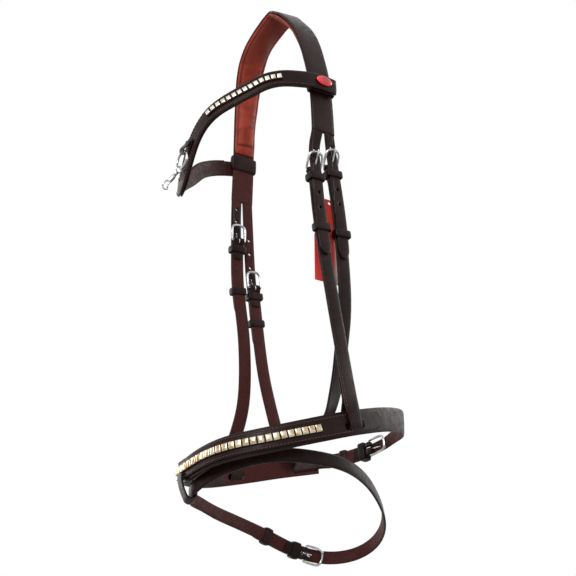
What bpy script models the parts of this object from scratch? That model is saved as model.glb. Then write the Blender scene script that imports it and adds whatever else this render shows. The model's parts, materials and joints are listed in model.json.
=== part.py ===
"""English bridle: a padded crown with four billets, a clincher browband, two cheekpieces and a flash noseband.

Metres, +Z up. The horse looks along -Y, so its near side is +X. The origin is on the poll, at the highest
point of the crown's underside, where the bridle hangs.
"""

import math

import bmesh
import bpy
import numpy as np
from mathutils import Vector

# The head that the bridle goes round
HEAD_HALF_WIDTH = 0.100
HEAD_REACH = 0.114
HEAD_DROP = 0.560
POLL_SET_BACK = 0.0150
POLL_RISE = 0.0037

# Room between pieces that touch, and how far a cutter runs past what it cuts
GAP = 0.0003
OVERRUN = 0.004

# Billets, the four tabs that the crown is split into
BILLET_WIDTH = 0.0130
BILLET_THICK = 0.0028
BILLET_ROOT = 0.012
BILLET_POINT = 0.012
BILLET_HOLE = 0.0034
BILLET_HOLE_PITCH = 0.0170
CROWN_SPLIT = 0.0012

# Crown
CROWN_WIDTH = 0.034
CROWN_LEG_WIDTH = 2 * BILLET_WIDTH + CROWN_SPLIT + 2 * GAP
CROWN_THICK = 0.0035
CROWN_PAD_EDGE = 0.0022
CROWN_PAD_RISE = 0.0040
NEAR_PAD_CLEAR = 0.0015
OFF_PAD_CLEAR = 0.0032

# Cheekpieces and noseband hangers
STRAP_WIDTH = 0.0150
STRAP_THICK = 0.0030
NECK_WIDTH = 0.0122
NECK_LENGTH = 0.0075
TURN_LENGTH = 0.022
TURN_THICK = 0.0018

# Buckles
WIRE = 0.0023
ARCH_WIRE = 0.0030
BUCKLE_WIDTH = 0.0188
BUCKLE_LENGTH = 0.0225
BUCKLE_CORNER = 0.0055
BUCKLE_FOOT = 0.0020
TONGUE_WIRE = 0.0019
TONGUE_OVERHANG = 0.0012
TONGUE_ROOM = 0.0005
TONGUE_PLAY = 0.0011
LAID_LEAN = math.radians(20.0)

# Keepers
KEEPER_HEIGHT = 0.0080
KEEPER_THICK = 0.0016
KEEPER_ROOM = 0.0005
KEEPER_CORNER = 0.0008

# Bit ends of the cheekpieces
BIT_EYE = 0.0050
BIT_RETURN = 0.036
STUD_BASE = 0.0036
STUD_HEAD = 0.0033
STUD_NECK = 0.0013
STUD_PLATE = 0.0009
STUD_ROOM = 0.0005

# Noseband
NOSE_WIDTH = 0.0230
NOSE_THICK = 0.0030
RAISED_WIDTH = 0.0185
RAISED_THICK = 0.0020
NOSE_PAD_EDGE = 0.0014
NOSE_PAD_RISE = 0.0024
NOSE_PITCH = 0.0126
HANGER_SEAM = 0.046
HANGER_FOLD_RISE = 0.0005
HANGER_SETTLE = 0.0004
HANGER_SLOT_ROOM = 0.0010
CHIN_WIDTH = 0.0150
CHIN_STRAP_REACH = 0.100
CHIN_SEWN = 0.030

# Flash strap and its loop
FLASH_WIDTH = 0.0130
FLASH_THICK = 0.0028
FLASH_LOOP_LENGTH = 0.0130
FLASH_LOOP_THICK = 0.0022
FLASH_LOOP_DEPTH = 0.0080
FLASH_LOOP_ROOM = 0.0006

# Browband
BROW_WIDTH = 0.0190
BROW_THICK = 0.0036
BROW_LINING_THICK = 0.0014
BROW_LOOP_HEIGHT = 0.0180
BROW_LOOP_THICK = 0.0020
BROW_LOOP_ROOM = 0.0007
BADGE_LENGTH = 0.0200
BADGE_HEIGHT = 0.0110
BADGE_THICK = 0.0026

# Clincher strips
CLINCHER_PITCH = 0.0063
CLINCHER_WIDTH = 0.0070
CLINCHER_BASE = 0.0006
CLINCHER_RISE = 0.0018
BROW_CLINCHERS = 14
NOSE_CLINCHERS = 46

# Ring and snap at the browband's dip
RING_DIAMETER = 0.0225
RING_WIRE = 0.0026
TAB_WIDTH = 0.0100
TAB_THICK = 0.0016
TAB_LENGTH = 0.0150
SNAP_EYE = 0.0084
SNAP_WIRE = 0.0018
SNAP_BALL = 0.0046
SNAP_BARREL = 0.0050
SNAP_BARREL_LENGTH = 0.0090
SNAP_HOOK = 0.0110
SNAP_HOOK_WIRE = 0.0022
SNAP_BOLT = 0.0016
SNAP_BOLT_TRAVEL = 0.0030

# Swing tag behind the near straps
TAG_WIDTH = 0.0270
TAG_HEIGHT = 0.0935
TAG_THICK = 0.0008
TAG_HOLE = 0.0030
TAG_EYE_DROP = 0.0040

# Points of each path, as shares of the head's half width, reach and drop
CROWN_SHARES = (
    (0.000, -0.132, -0.0075),
    (0.094, -0.138, -0.0034),
    (0.189, -0.167, 0.0113),
    (0.307, -0.202, 0.0316),
    (0.427, -0.215, 0.0557),
    (0.536, -0.204, 0.0786),
    (0.614, -0.184, 0.1030),
    (0.690, -0.162, 0.1402),
    (0.752, -0.145, 0.1829),
    (0.800, -0.128, 0.2250),
    (0.828, -0.116, 0.2682),
    (0.843, -0.111, 0.3080),
    (0.858, -0.110, 0.3680),
)
NEAR_HANGER_SHARES = (
    (0.800, -0.180, 0.4480),
    (0.830, -0.146, 0.5560),
    (0.872, -0.070, 0.6850),
    (0.935, -0.008, 0.8050),
)
OFF_HANGER_SHARES = (
    (0.805, -0.175, 0.4680),
    (0.830, -0.146, 0.5600),
    (0.872, -0.040, 0.6850),
    (0.945, -0.006, 0.8050),
)
NEAR_CHEEK_SHARES = (
    (0.800, 0.006, 0.4310),
    (0.835, 0.062, 0.5560),
    (0.820, 0.106, 0.6947),
    (0.790, 0.071, 0.7875),
    (0.790, 0.020, 0.8500),
    (0.775, -0.070, 0.9150),
    (0.725, -0.160, 0.9330),
    (0.672, -0.235, 0.9424),
    (0.620, -0.310, 0.9514),
)
OFF_CHEEK_SHARES = (
    (0.850, 0.040, 0.5600),
    (0.850, 0.090, 0.6400),
    (0.845, 0.165, 0.7400),
    (0.830, 0.270, 0.8250),
    (0.800, 0.370, 0.9000),
)
NOSE_SHARES = (
    (0.000, -0.973, 0.9920),
    (0.320, -0.942, 0.9830),
    (0.600, -0.857, 0.9770),
    (0.850, -0.642, 0.9680),
    (1.000, -0.269, 0.9465),
    (1.020, 0.017, 0.9284),
    (0.900, 0.415, 0.9035),
    (0.660, 0.770, 0.8838),
    (0.380, 0.940, 0.8805),
    (0.150, 0.950, 0.8887),
    (-0.100, 0.904, 0.8984),
    (-0.400, 0.820, 0.9053),
    (-0.700, 0.670, 0.9067),
    (-0.930, 0.400, 0.9135),
    (-1.000, 0.004, 0.9325),
    (-0.820, -0.454, 0.9580),
    (-0.420, -0.820, 0.9768),
)
FLASH_SHARES = (
    (0.000, -0.930, 1.0285),
    (0.130, -0.925, 1.0190),
    (0.300, -0.835, 1.0020),
    (0.550, -0.690, 0.9890),
    (0.680, -0.462, 0.9800),
    (0.730, -0.167, 0.9780),
    (0.700, 0.138, 0.9804),
    (0.600, 0.396, 0.9929),
    (0.450, 0.616, 1.0132),
    (0.260, 0.801, 1.0325),
    (0.060, 0.915, 1.0499),
    (-0.160, 0.958, 1.0667),
    (-0.350, 0.900, 1.0804),
    (-0.480, 0.761, 1.0872),
    (-0.560, 0.568, 1.0857),
    (-0.600, 0.328, 1.0757),
    (-0.590, 0.067, 1.0580),
    (-0.530, -0.214, 1.0452),
    (-0.400, -0.517, 1.0370),
    (-0.250, -0.740, 1.0306),
    (-0.120, -0.875, 1.0320),
)
BROW_SHARES = (
    (0.905, 0.010, 0.2640),
    (0.920, -0.190, 0.2650),
    (0.905, -0.380, 0.2730),
    (0.849, -0.545, 0.2777),
    (0.767, -0.680, 0.2870),
    (0.668, -0.787, 0.3020),
    (0.534, -0.904, 0.3180),
    (0.384, -1.006, 0.3330),
    (0.244, -1.060, 0.3510),
    (0.139, -1.098, 0.3800),
    (0.048, -1.111, 0.4140),
    (-0.018, -1.116, 0.4430),
    (-0.080, -1.108, 0.4590),
    (-0.180, -1.080, 0.4570),
    (-0.360, -1.020, 0.4300),
    (-0.549, -0.894, 0.3950),
    (-0.685, -0.768, 0.3660),
    (-0.805, -0.623, 0.3290),
    (-0.895, -0.446, 0.3020),
    (-0.922, -0.220, 0.2860),
    (-0.908, 0.010, 0.2790),
)
NEAR_HANGER_SEAT_SHARES = (1.020, 0.010, 0.929)
OFF_HANGER_SEAT_SHARES = (-0.990, -0.060, 0.935)
FIXED_KEEPER_SHARE = 0.45
BROW_CLINCHER_SHARE = 0.150
TAB_PLACE_SHARE = 0.455
SNAP_LEAN_SHARE = 0.43
BADGE_PLACE_SHARE = 0.040
NEAR_CHEEK_FOOT_SHARES = (
    (0.95, 0.10, -0.30),
    (0.55, 0.20, -0.80),
    (0.30, 0.20, -0.92),
    (0.30, 0.20, -0.92),
    (0.30, 0.20, -0.92),
)
BILLET_POINT_SHARES = ((0.35, 0.97), (0.70, 0.80), (1.00, 0.34))
TAG_PLACE_SHARES = (0.0, -0.178, 0.5000)
TAG_OUTLINE_SHARES = ((0.49, 0.0), (0.87, 0.0), (1.0, 0.62), (1.0, 1.0), (0.0, 1.0), (0.0, 0.48), (0.08, 0.36))

# Places down a strap, measured from its buckle's bar: the runner, and the tip of what is buckled in
NEAR_HANGER_RUNNER = 0.068
NEAR_HANGER_LAP = 0.098
NEAR_CHEEK_RUNNER = 0.079
NEAR_CHEEK_LAP = 0.106
OFF_HANGER_RUNNER = 0.060
OFF_HANGER_LAP = 0.088
OFF_CHEEK_RUNNER = 0.0415
OFF_CHEEK_LAP = 0.070
CHIN_RUNNER = 0.036
CHIN_LAP = 0.054
FLASH_RUNNER = 0.044
FLASH_LAP = 0.064

# Places of the chin and flash buckles' bars round their straps, from the nose along the near side
CHIN_BAR_SHARE = 0.52958
FLASH_BAR_SHARE = 0.68298

# Distance between a strap's sections
STRAP_PITCH = 0.0140
FLASH_PITCH = 0.0135

DOWN = np.array((0.0, 0.0, -1.0))
UP = np.array((0.0, 0.0, 1.0))
SIDEWAYS = np.array((1.0, 0.0, 0.0))
FORWARD = np.array((0.0, -1.0, 0.0))


def finish(name, colour, roughness, metallic=0.0):
    """A plain Principled material."""
    made = bpy.data.materials.new(name)
    made.use_nodes = True
    shader = made.node_tree.nodes["Principled BSDF"]
    shader.inputs["Base Color"].default_value = (*colour, 1.0)
    shader.inputs["Roughness"].default_value = roughness
    shader.inputs["Metallic"].default_value = metallic
    return made


def bridle_finishes():
    return {
        "leather": finish("dark_leather", (0.030, 0.016, 0.013), 0.42),
        "flesh": finish("brown_leather", (0.070, 0.028, 0.022), 0.60),
        "tan": finish("tan_lining", (0.430, 0.090, 0.045), 0.50),
        "steel": finish("stainless_steel", (0.72, 0.72, 0.74), 0.18, 1.0),
        "clincher": finish("pale_clincher", (0.86, 0.80, 0.66), 0.20, 1.0),
        "red": finish("red_enamel", (0.60, 0.015, 0.020), 0.30),
        "card": finish("red_card", (0.62, 0.030, 0.030), 0.55),
    }


def clear_scene():
    for old in list(bpy.data.objects):
        bpy.data.objects.remove(old, do_unlink=True)


def unit(vector):
    vector = np.asarray(vector, float)
    return vector / np.linalg.norm(vector)


def blend(low, high, share):
    """A smooth step from one value to another."""
    share = min(max(share, 0.0), 1.0)
    return low + (high - low) * share * share * (3 - 2 * share)


def placed(share):
    """A point of the head from its shares."""
    ahead = share[1] * HEAD_REACH + POLL_SET_BACK
    return np.array((share[0] * HEAD_HALF_WIDTH, ahead, POLL_RISE - share[2] * HEAD_DROP))


def mirrored(points, side):
    return [np.array((side * point[0], point[1], point[2])) for point in points]


def curve_point(points, span, share, closed):
    """A point of the Catmull-Rom curve between two of its points."""
    count = len(points)

    def corner(index):
        if closed:
            return points[index % count]
        if index < 0:
            return 2 * points[0] - points[1]
        if index >= count:
            return 2 * points[-1] - points[-2]
        return points[index]

    before, start, end, after = (corner(span + offset) for offset in (-1, 0, 1, 2))
    bend = 2 * before - 5 * start + 4 * end - after
    twist = 3 * start - before - 3 * end + after
    return 0.5 * (2 * start + (end - before) * share + bend * share**2 + twist * share**3)


class Path:
    """A smooth line through points, measured along its length, with an outward side at each place."""

    def __init__(self, points, sides, closed=False):
        points = [np.asarray(point, float) for point in points]
        sides = [unit(side) for side in sides]
        spans = len(points) if closed else len(points) - 1
        steps = 12
        fine, fine_sides = [], []
        for span in range(spans):
            after = sides[(span + 1) % len(sides)]
            for step in range(steps):
                share = step / steps
                fine.append(curve_point(points, span, share, closed))
                fine_sides.append(unit(sides[span] * (1 - share) + after * share))
        fine.append(points[0] if closed else points[-1])
        fine_sides.append(sides[0] if closed else sides[-1])
        self.points = np.array(fine)
        self.sides = np.array(fine_sides)
        self.closed = closed
        lengths = np.linalg.norm(np.diff(self.points, axis=0), axis=1)
        self.reached = np.concatenate([[0.0], np.cumsum(lengths)])
        self.length = float(self.reached[-1])

    def point(self, distance):
        """The point at a distance, straight on past an open end."""
        if self.closed:
            distance = distance % self.length
        inside = min(max(distance, 0.0), self.length)
        place = np.array([np.interp(inside, self.reached, self.points[:, axis]) for axis in range(3)])
        if distance < 0.0:
            place = place + unit(self.points[1] - self.points[0]) * distance
        if distance > self.length:
            place = place + unit(self.points[-1] - self.points[-2]) * (distance - self.length)
        return place

    def frame(self, distance):
        """Point, direction of travel, direction across and outward side at a distance."""
        reach = self.length / 300
        along = unit(self.point(distance + reach) - self.point(distance - reach))
        inside = distance % self.length if self.closed else min(max(distance, 0.0), self.length)
        side = np.array([np.interp(inside, self.reached, self.sides[:, axis]) for axis in range(3)])
        side = unit(side - along * side.dot(along))
        return self.point(distance), along, np.cross(along, side), side

    def at_height(self, height, side):
        """The distance at which the path passes a height, on the side of a sign."""
        there = [index for index, point in enumerate(self.points) if point[0] * side > 0]
        there.sort(key=lambda item: self.points[item][2])
        return float(np.interp(height, self.points[there][:, 2], self.reached[there]))

    def nearest(self, place):
        """The distance along the path at which it lies nearest to a place."""
        tried = np.linspace(0.0, self.length, 500)
        gaps = [np.linalg.norm(self.point(distance) - place) for distance in tried]
        return float(tried[int(np.argmin(gaps))])


class Run:
    """A stretch of a path, measured from a start and either with or against it."""

    def __init__(self, path, start, heading):
        self.path = path
        self.start = start
        self.heading = heading

    def frame(self, distance):
        point, along, across, side = self.path.frame(self.start + self.heading * distance)
        return point, along * self.heading, across * self.heading, side


def lifted(frame, lift):
    point, along, across, side = frame
    return point + side * lift, along, across, side


def grid_places(pitch, first, last):
    """Places a pitch apart from a first to a last one, on a grid that stacked layers share."""
    low, high = round(first / pitch), round(last / pitch)
    return [index * pitch for index in range(low, high + 1)]


def loop_profile(height, wall):
    """The section of a keeper's wall: flat inside, with its outer edges taken off."""
    half, edge = height / 2, wall / 2
    return [(-half, -edge), (half, -edge), (half, 0.0), (0.8 * half, edge), (-0.8 * half, edge), (-half, 0.0)]


def band_profile(width, thick):
    """A strap's section: flat faces and rounded edges, as (across, outward) pairs."""
    half, edge, nip = width / 2, thick / 2, thick * 0.30
    return [
        (-half + nip, -edge),
        (half - nip, -edge),
        (half, -edge + nip),
        (half, edge - nip),
        (half - nip, edge),
        (-half + nip, edge),
        (-half, edge - nip),
        (-half, -edge + nip),
    ]


def pad_profile(width, edge, rise):
    """A padded section under a strap: flat at its seat and crowned below, with drawn-in sides."""
    half = width / 2
    points = [(-half, 0.0), (-half, -0.55 * edge), (-0.88 * half, -edge)]
    for across in (-0.58, 0.0, 0.58):
        points.append((across * half, -edge - rise * (1.0 - across**2)))
    return points + [(0.88 * half, -edge), (half, -0.55 * edge), (half, 0.0)]


def rod_profile(diameter, sides=6):
    turns = [2 * math.pi * (index + 0.5) / sides for index in range(sides)]
    return [(math.cos(turn) * diameter / 2, math.sin(turn) * diameter / 2) for turn in turns]


def section(frame, profile, lift=0.0):
    """The points of a section placed in a frame."""
    point, _, across, side = frame
    return [point + across * a + side * (b + lift) for a, b in profile]


def frames_through(points, sides):
    """Frames at each of a list of points, each with a hint of its outward side."""
    frames = []
    last = len(points) - 1
    for index, point in enumerate(points):
        along = unit(points[min(index + 1, last)] - points[max(index - 1, 0)])
        side = np.asarray(sides[index], float)
        side = unit(side - along * side.dot(along))
        frames.append((point, along, np.cross(along, side), side))
    return frames


def mesh_of(shape, name):
    bmesh.ops.recalc_face_normals(shape, faces=shape.faces)
    mesh = bpy.data.meshes.new(name)
    shape.to_mesh(mesh)
    shape.free()
    mesh.shade_smooth()
    mesh.set_sharp_from_angle(angle=math.radians(40.0))
    return mesh


def add_object(name, mesh, look, origin):
    """Links a mesh, as a sub-part when it has a finish and as a hidden helper when it has none."""
    made = bpy.data.objects.new(name, mesh)
    made.location = Vector(origin)
    bpy.context.scene.collection.objects.link(made)
    if look is None:
        made.hide_render = True
        made.display_type = "WIRE"
    else:
        mesh.materials.append(look)
    return made


def solid(name, rings, look, closed=False, origin=(0.0, 0.0, 0.0)):
    """One closed body through rings of points. Both faces of a strap are split along the same diagonal."""
    origin = np.asarray(origin, float)
    shape = bmesh.new()
    rows = [[shape.verts.new(Vector(point - origin)) for point in ring] for ring in rings]
    following = rows[1:] + ([rows[0]] if closed else [])
    for row, after in zip(rows, following):
        for index in range(len(row)):
            beside = (index + 1) % len(row)
            if 2 * index < len(row):
                shape.faces.new((row[index], row[beside], after[beside]))
                shape.faces.new((row[index], after[beside], after[index]))
            else:
                shape.faces.new((row[index], row[beside], after[index]))
                shape.faces.new((row[beside], after[beside], after[index]))
    if not closed:
        shape.faces.new(list(reversed(rows[0])))
        shape.faces.new(rows[-1])
    return add_object(name, mesh_of(shape, name), look, origin)


def combine(target, other, operation):
    """A Boolean of two objects that stays live on the first."""
    modifier = target.modifiers.new(operation.lower() + "_" + other.name, "BOOLEAN")
    modifier.operation = operation
    modifier.solver = "EXACT"
    modifier.object = other


def prisms(name, frames, length, width, depth):
    """A cutter with one rounded prism for each frame: length along, width across, depth through."""
    shape = bmesh.new()
    sides = 8
    stretch = max(length - width, 0.0) / 2
    corner = width / 2 / math.cos(math.pi / sides)
    for point, along, across, side in frames:
        loop = []
        for index in range(sides):
            turn = 2 * math.pi * (index + 0.5) / sides
            shift = math.copysign(stretch, math.cos(turn))
            reach = along * (math.cos(turn) * corner + shift)
            loop.append(point + reach + across * math.sin(turn) * corner)
        low = [shape.verts.new(Vector(place - side * depth / 2)) for place in loop]
        high = [shape.verts.new(Vector(place + side * depth / 2)) for place in loop]
        for index in range(sides):
            beside = (index + 1) % sides
            shape.faces.new((low[index], low[beside], high[beside], high[index]))
        shape.faces.new(list(reversed(low)))
        shape.faces.new(high)
    return add_object(name, mesh_of(shape, name), None, (0.0, 0.0, 0.0))


def hoop(name, frame, width, depth, wall, height, look, shift=0.0):
    """A leather loop: its hollow is width by depth and runs along the frame's direction of travel."""
    point, along, across, side = frame
    centre = point + side * shift
    rings = []
    for step in range(12):
        quarter, part = divmod(step, 3)
        turn = math.radians(90.0 * quarter + 45.0 * part)
        out = across * math.cos(turn) + side * math.sin(turn)
        sign_w = 1 if quarter in (0, 3) else -1
        sign_d = 1 if quarter in (0, 1) else -1
        knee = across * sign_w * (width / 2 - KEEPER_CORNER) + side * sign_d * (depth / 2 - KEEPER_CORNER)
        middle = centre + knee + out * (KEEPER_CORNER + wall / 2)
        rings.append([middle + out * b + along * a for a, b in loop_profile(height, wall)])
    return solid(name, rings, look, closed=True, origin=centre)


def turning(name, point, axis, outline, look, sides=12):
    """A turned piece from (radius, height) pairs, flat at both ends."""
    axis = unit(axis)
    first = unit(np.cross(axis, FORWARD if abs(axis[1]) < 0.9 else SIDEWAYS))
    second = np.cross(axis, first)
    turns = [2 * math.pi * index / sides for index in range(sides)]
    spokes = [first * math.cos(turn) + second * math.sin(turn) for turn in turns]
    rings = [[point + axis * height + spoke * radius for spoke in spokes] for radius, height in outline]
    return solid(name, rings, look, origin=point)


def wire_ring(name, centre, normal, diameter, wire, look, origin, turns=18, sides=6):
    """A round ring of wire, with its origin where it turns."""
    normal = unit(normal)
    first = unit(np.cross(normal, UP))
    second = np.cross(normal, first)
    rings = []
    for index in range(turns):
        turn = 2 * math.pi * index / turns
        out = first * math.cos(turn) + second * math.sin(turn)
        middle = centre + out * (diameter - wire) / 2
        rings.append([middle + out * a + normal * b for a, b in rod_profile(wire, sides)])
    return solid(name, rings, look, closed=True, origin=origin)


def rod(name, points, normal, diameter, look, closed=False, sides=6, origin=(0.0, 0.0, 0.0)):
    """A bent rod through points that lie about in one plane."""
    count = len(points)
    rings = []
    for index, point in enumerate(points):
        after = points[(index + 1) % count] if closed else points[min(index + 1, count - 1)]
        before = points[index - 1] if closed else points[max(index - 1, 0)]
        along = unit(after - before)
        off = unit(np.cross(along, normal))
        rings.append([point + off * a + np.cross(off, along) * b for a, b in rod_profile(diameter, sides)])
    return solid(name, rings, look, closed=closed, origin=origin)


class Buckle:
    """A buckle at the head of a strap. Its bar lies in the strap's turn and its arch reaches up past it."""

    def __init__(self, frame, strap_thick, through):
        point, along, self.across, self.side = frame
        self.up = -along
        self.thick = strap_thick
        self.drop = strap_thick / 2 + GAP + WIRE / 2
        self.bar = point - self.side * self.drop
        self.billet_lift = strap_thick / 2 + GAP + BILLET_THICK / 2
        self.reach = BUCKLE_LENGTH - WIRE / 2 - ARCH_WIRE / 2
        clear = self.drop + self.billet_lift + BILLET_THICK / 2 + GAP + ARCH_WIRE / 2
        standing = math.asin(clear / (self.reach - BUCKLE_CORNER / 2))
        self.lean = standing if through else 0.0
        self.tongue_lean = standing if through else LAID_LEAN
        self.eye = WIRE / 2 + GAP + TONGUE_WIRE / 2

    def spot(self, reach, across, rise, lean):
        """A point of the plane that leans out from the bar: reach along it, across it, and rise off it."""
        along = self.up * math.cos(lean) + self.side * math.sin(lean)
        off = self.side * math.cos(lean) - self.up * math.sin(lean)
        return self.bar + along * reach + self.across * across + off * rise

    def frame_outline(self):
        """Half of the frame's outline, from the middle of the bar to the middle of the arch."""
        half = BUCKLE_WIDTH / 2 - WIRE / 2
        outline = [(0.0, half - BUCKLE_FOOT)]
        for degrees in (45, 90):
            turn = math.radians(degrees)
            foot = BUCKLE_FOOT
            outline.append((foot * (1 - math.cos(turn)), half - foot * (1 - math.sin(turn))))
        outline.append((self.reach * 0.45, half))
        for degrees in (0, 30, 60, 90):
            turn = math.radians(degrees)
            bend = BUCKLE_CORNER
            outline.append((self.reach - bend * (1 - math.sin(turn)), half - bend * (1 - math.cos(turn))))
        return outline

    def frame_rings(self):
        half = self.frame_outline()
        outline = half + [(reach, -across) for reach, across in reversed(half)]
        rings = []
        count = len(outline)
        for index, (reach, across) in enumerate(outline):
            before, after = outline[index - 1], outline[(index + 1) % count]
            heading = unit((after[0] - before[0], after[1] - before[1]))
            size = blend(WIRE, ARCH_WIRE, reach / self.reach)
            ring = []
            for a, b in rod_profile(size):
                ring.append(self.spot(reach + heading[1] * a, across - heading[0] * a, b, self.lean))
            rings.append(ring)
        return rings

    def tongue_rings(self):
        """The tongue: an eye round the bar, then a straight run that ends on the arch."""
        rest = max(ARCH_WIRE / 2 + GAP + TONGUE_WIRE / 2, self.eye)
        length = self.reach + ARCH_WIRE / 2 + TONGUE_OVERHANG
        outline = []
        for degrees in (-35, -80, -125, -170, -215, -260):
            turn = math.radians(degrees)
            outline.append((math.cos(turn) * self.eye, math.sin(turn) * self.eye))
        outline.append((self.reach * 0.25, self.eye))
        outline.append((self.reach * 0.75, rest))
        outline.append((self.reach, rest))
        outline.append((length, rest - TONGUE_WIRE * 0.2))
        rings = []
        count = len(outline)
        for index, (reach, rise) in enumerate(outline):
            before, after = outline[max(index - 1, 0)], outline[min(index + 1, count - 1)]
            heading = unit((after[0] - before[0], after[1] - before[1]))
            size = TONGUE_WIRE * (0.7 if index == count - 1 else 1.0)
            ring = []
            for a, b in rod_profile(size):
                ring.append(self.spot(reach + heading[1] * a, b, rise - heading[0] * a, self.tongue_lean))
            rings.append(ring)
        return rings

    def slot_frame(self):
        """Where the tongue crosses the billet, with its through direction along the tongue."""
        lean = self.tongue_lean
        reach = (self.drop + self.billet_lift - self.eye * math.cos(lean)) / math.sin(lean)
        along = self.up * math.cos(lean) + self.side * math.sin(lean)
        off = self.side * math.cos(lean) - self.up * math.sin(lean)
        return self.spot(reach, 0.0, self.eye, lean), off, self.across, along

    def build(self, label, looks):
        solid(label + "_buckle", self.frame_rings(), looks["steel"], closed=True, origin=self.bar)
        solid(label + "_tongue", self.tongue_rings(), looks["steel"], origin=self.bar)

    def cut_turn(self, strap, label):
        """Opens the strap's turn for the tongue."""
        radius = WIRE / 2 + GAP + self.thick
        below = self.eye + TONGUE_WIRE / 2 + TONGUE_ROOM
        height = below + radius + OVERRUN
        centre = self.bar + self.up * (height / 2 - below)
        frame = (centre, self.up, self.across, self.side)
        width = TONGUE_WIRE + 2 * TONGUE_ROOM
        combine(strap, prisms(label + "_turn_slot", [frame], height, width, 4 * radius), "DIFFERENCE")

    def cut_billet(self, billet, label):
        """Punches the hole that the tongue goes through, slanted as the tongue is."""
        depth = 2 * BILLET_THICK / math.sin(self.tongue_lean) + OVERRUN
        length = TONGUE_WIRE + 2 * TONGUE_PLAY
        width = TONGUE_WIRE + 2 * TONGUE_ROOM
        cutter = prisms(label + "_tongue_hole", [self.slot_frame()], length, width, depth)
        combine(billet, cutter, "DIFFERENCE")


class StrapShape:
    """A strap as it is laid out, section by section."""

    def __init__(self):
        self.points = []
        self.sides = []
        self.widths = []
        self.thicks = []

    def add(self, point, side, width, thick):
        self.points.append(np.asarray(point, float))
        self.sides.append(np.asarray(side, float))
        self.widths.append(width)
        self.thicks.append(thick)

    def turned_head(self, line, thick):
        """The turned-back end inside, then the turn round the bar."""
        start, along, _, side = line.frame(0.0)
        radius = WIRE / 2 + GAP + thick / 2
        bar = start - side * radius
        seat = -(thick / 2 + GAP + TURN_THICK / 2)
        for share, width_share in ((1.0, 0.72), (0.82, 1.0), (0.22, 1.0)):
            point, _, _, out = line.frame(TURN_LENGTH * share)
            self.add(point + out * seat, -out, NECK_WIDTH * width_share, TURN_THICK)
        for degrees in (205, 165, 125, 85, 45):
            turn = math.radians(degrees)
            out = side * math.cos(turn) - along * math.sin(turn)
            self.add(bar + out * radius, out, NECK_WIDTH, TURN_THICK if degrees > 180 else thick * 0.9)
        self.add(start, side, NECK_WIDTH, thick)

    def run(self, line, start, stop, width, thick, spacing=STRAP_PITCH, lift=None, neck=True):
        """A plain run, its width rising from the neck's."""
        count = max(2, int(round((stop - start) / spacing)))
        places = [start + (stop - start) * step / count for step in range(count + 1)]
        if neck:
            places = [NECK_LENGTH * 0.55] + places
        for place in places:
            point, _, _, out = line.frame(place)
            size = blend(NECK_WIDTH, width, place / NECK_LENGTH) if neck else width
            rise = lift(place) if lift else 0.0
            self.add(point + out * rise, out, size, thick)

    def tip(self, line, stop, width, thick, lift=0.0):
        """A blunt point that ends a strap; the run before it stops short by the point's length."""
        for place_share, width_share in BILLET_POINT_SHARES:
            point, _, _, out = line.frame(stop - BILLET_POINT * (1 - place_share))
            self.add(point + out * lift, out, width * width_share, thick)

    def build(self, name, look):
        frames = frames_through(self.points, self.sides)
        rings = [section(f, band_profile(w, t)) for f, w, t in zip(frames, self.widths, self.thicks)]
        return solid(name, rings, look)


def crown_path():
    """The crown from the off leg's end, over the poll, to the near leg's end."""
    near = [placed(share) for share in CROWN_SHARES]
    points = mirrored(near[:0:-1], -1) + near
    sides = []
    for point in points:
        lean = min(1.0, abs(point[0]) / (HEAD_HALF_WIDTH * 0.80))
        sides.append(UP * (1.0 - lean**3) + SIDEWAYS * math.copysign(lean, point[0] or 1.0))
    return Path(points, sides)


def loop_heights():
    """The heights of the browband's near and off loops, at the ends of its line."""
    return placed(BROW_SHARES[0])[2], placed(BROW_SHARES[-1])[2]


def crown_width(share):
    """The crown's width at a share of its length: wide over the poll, narrow at both legs."""
    return blend(CROWN_WIDTH, CROWN_LEG_WIDTH, (abs(2 * share - 1) - 0.18) / 0.55)


def make_crown(line, looks):
    """The crown's leather and the tan pad under it."""
    count = 36
    near_loop, off_loop = loop_heights()
    low = line.at_height(off_loop + BROW_LOOP_HEIGHT / 2 + OFF_PAD_CLEAR, -1)
    high = line.at_height(near_loop + BROW_LOOP_HEIGHT / 2 + NEAR_PAD_CLEAR, 1)
    padded = [low + (high - low) * step / count for step in range(count + 1)]
    off_leg = [low * share for share in (0.0, 0.33, 0.67)]
    near_leg = [line.length - (line.length - high) * share for share in (0.67, 0.33, 0.0)]
    places = off_leg + padded + near_leg
    rings = [section(line.frame(p), band_profile(crown_width(p / line.length), CROWN_THICK)) for p in places]
    crown = solid("crown_leather", rings, looks["leather"])
    rings = []
    for place in padded:
        ends = place in (padded[0], padded[-1])
        width = crown_width(place / line.length) * (0.92 if ends else 0.985)
        profile = pad_profile(width, CROWN_PAD_EDGE, CROWN_PAD_RISE * (0.25 if ends else 1.0))
        rings.append(section(line.frame(place), profile, -(CROWN_THICK / 2 + GAP)))
    solid("crown_padding", rings, looks["tan"])
    return crown


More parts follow.
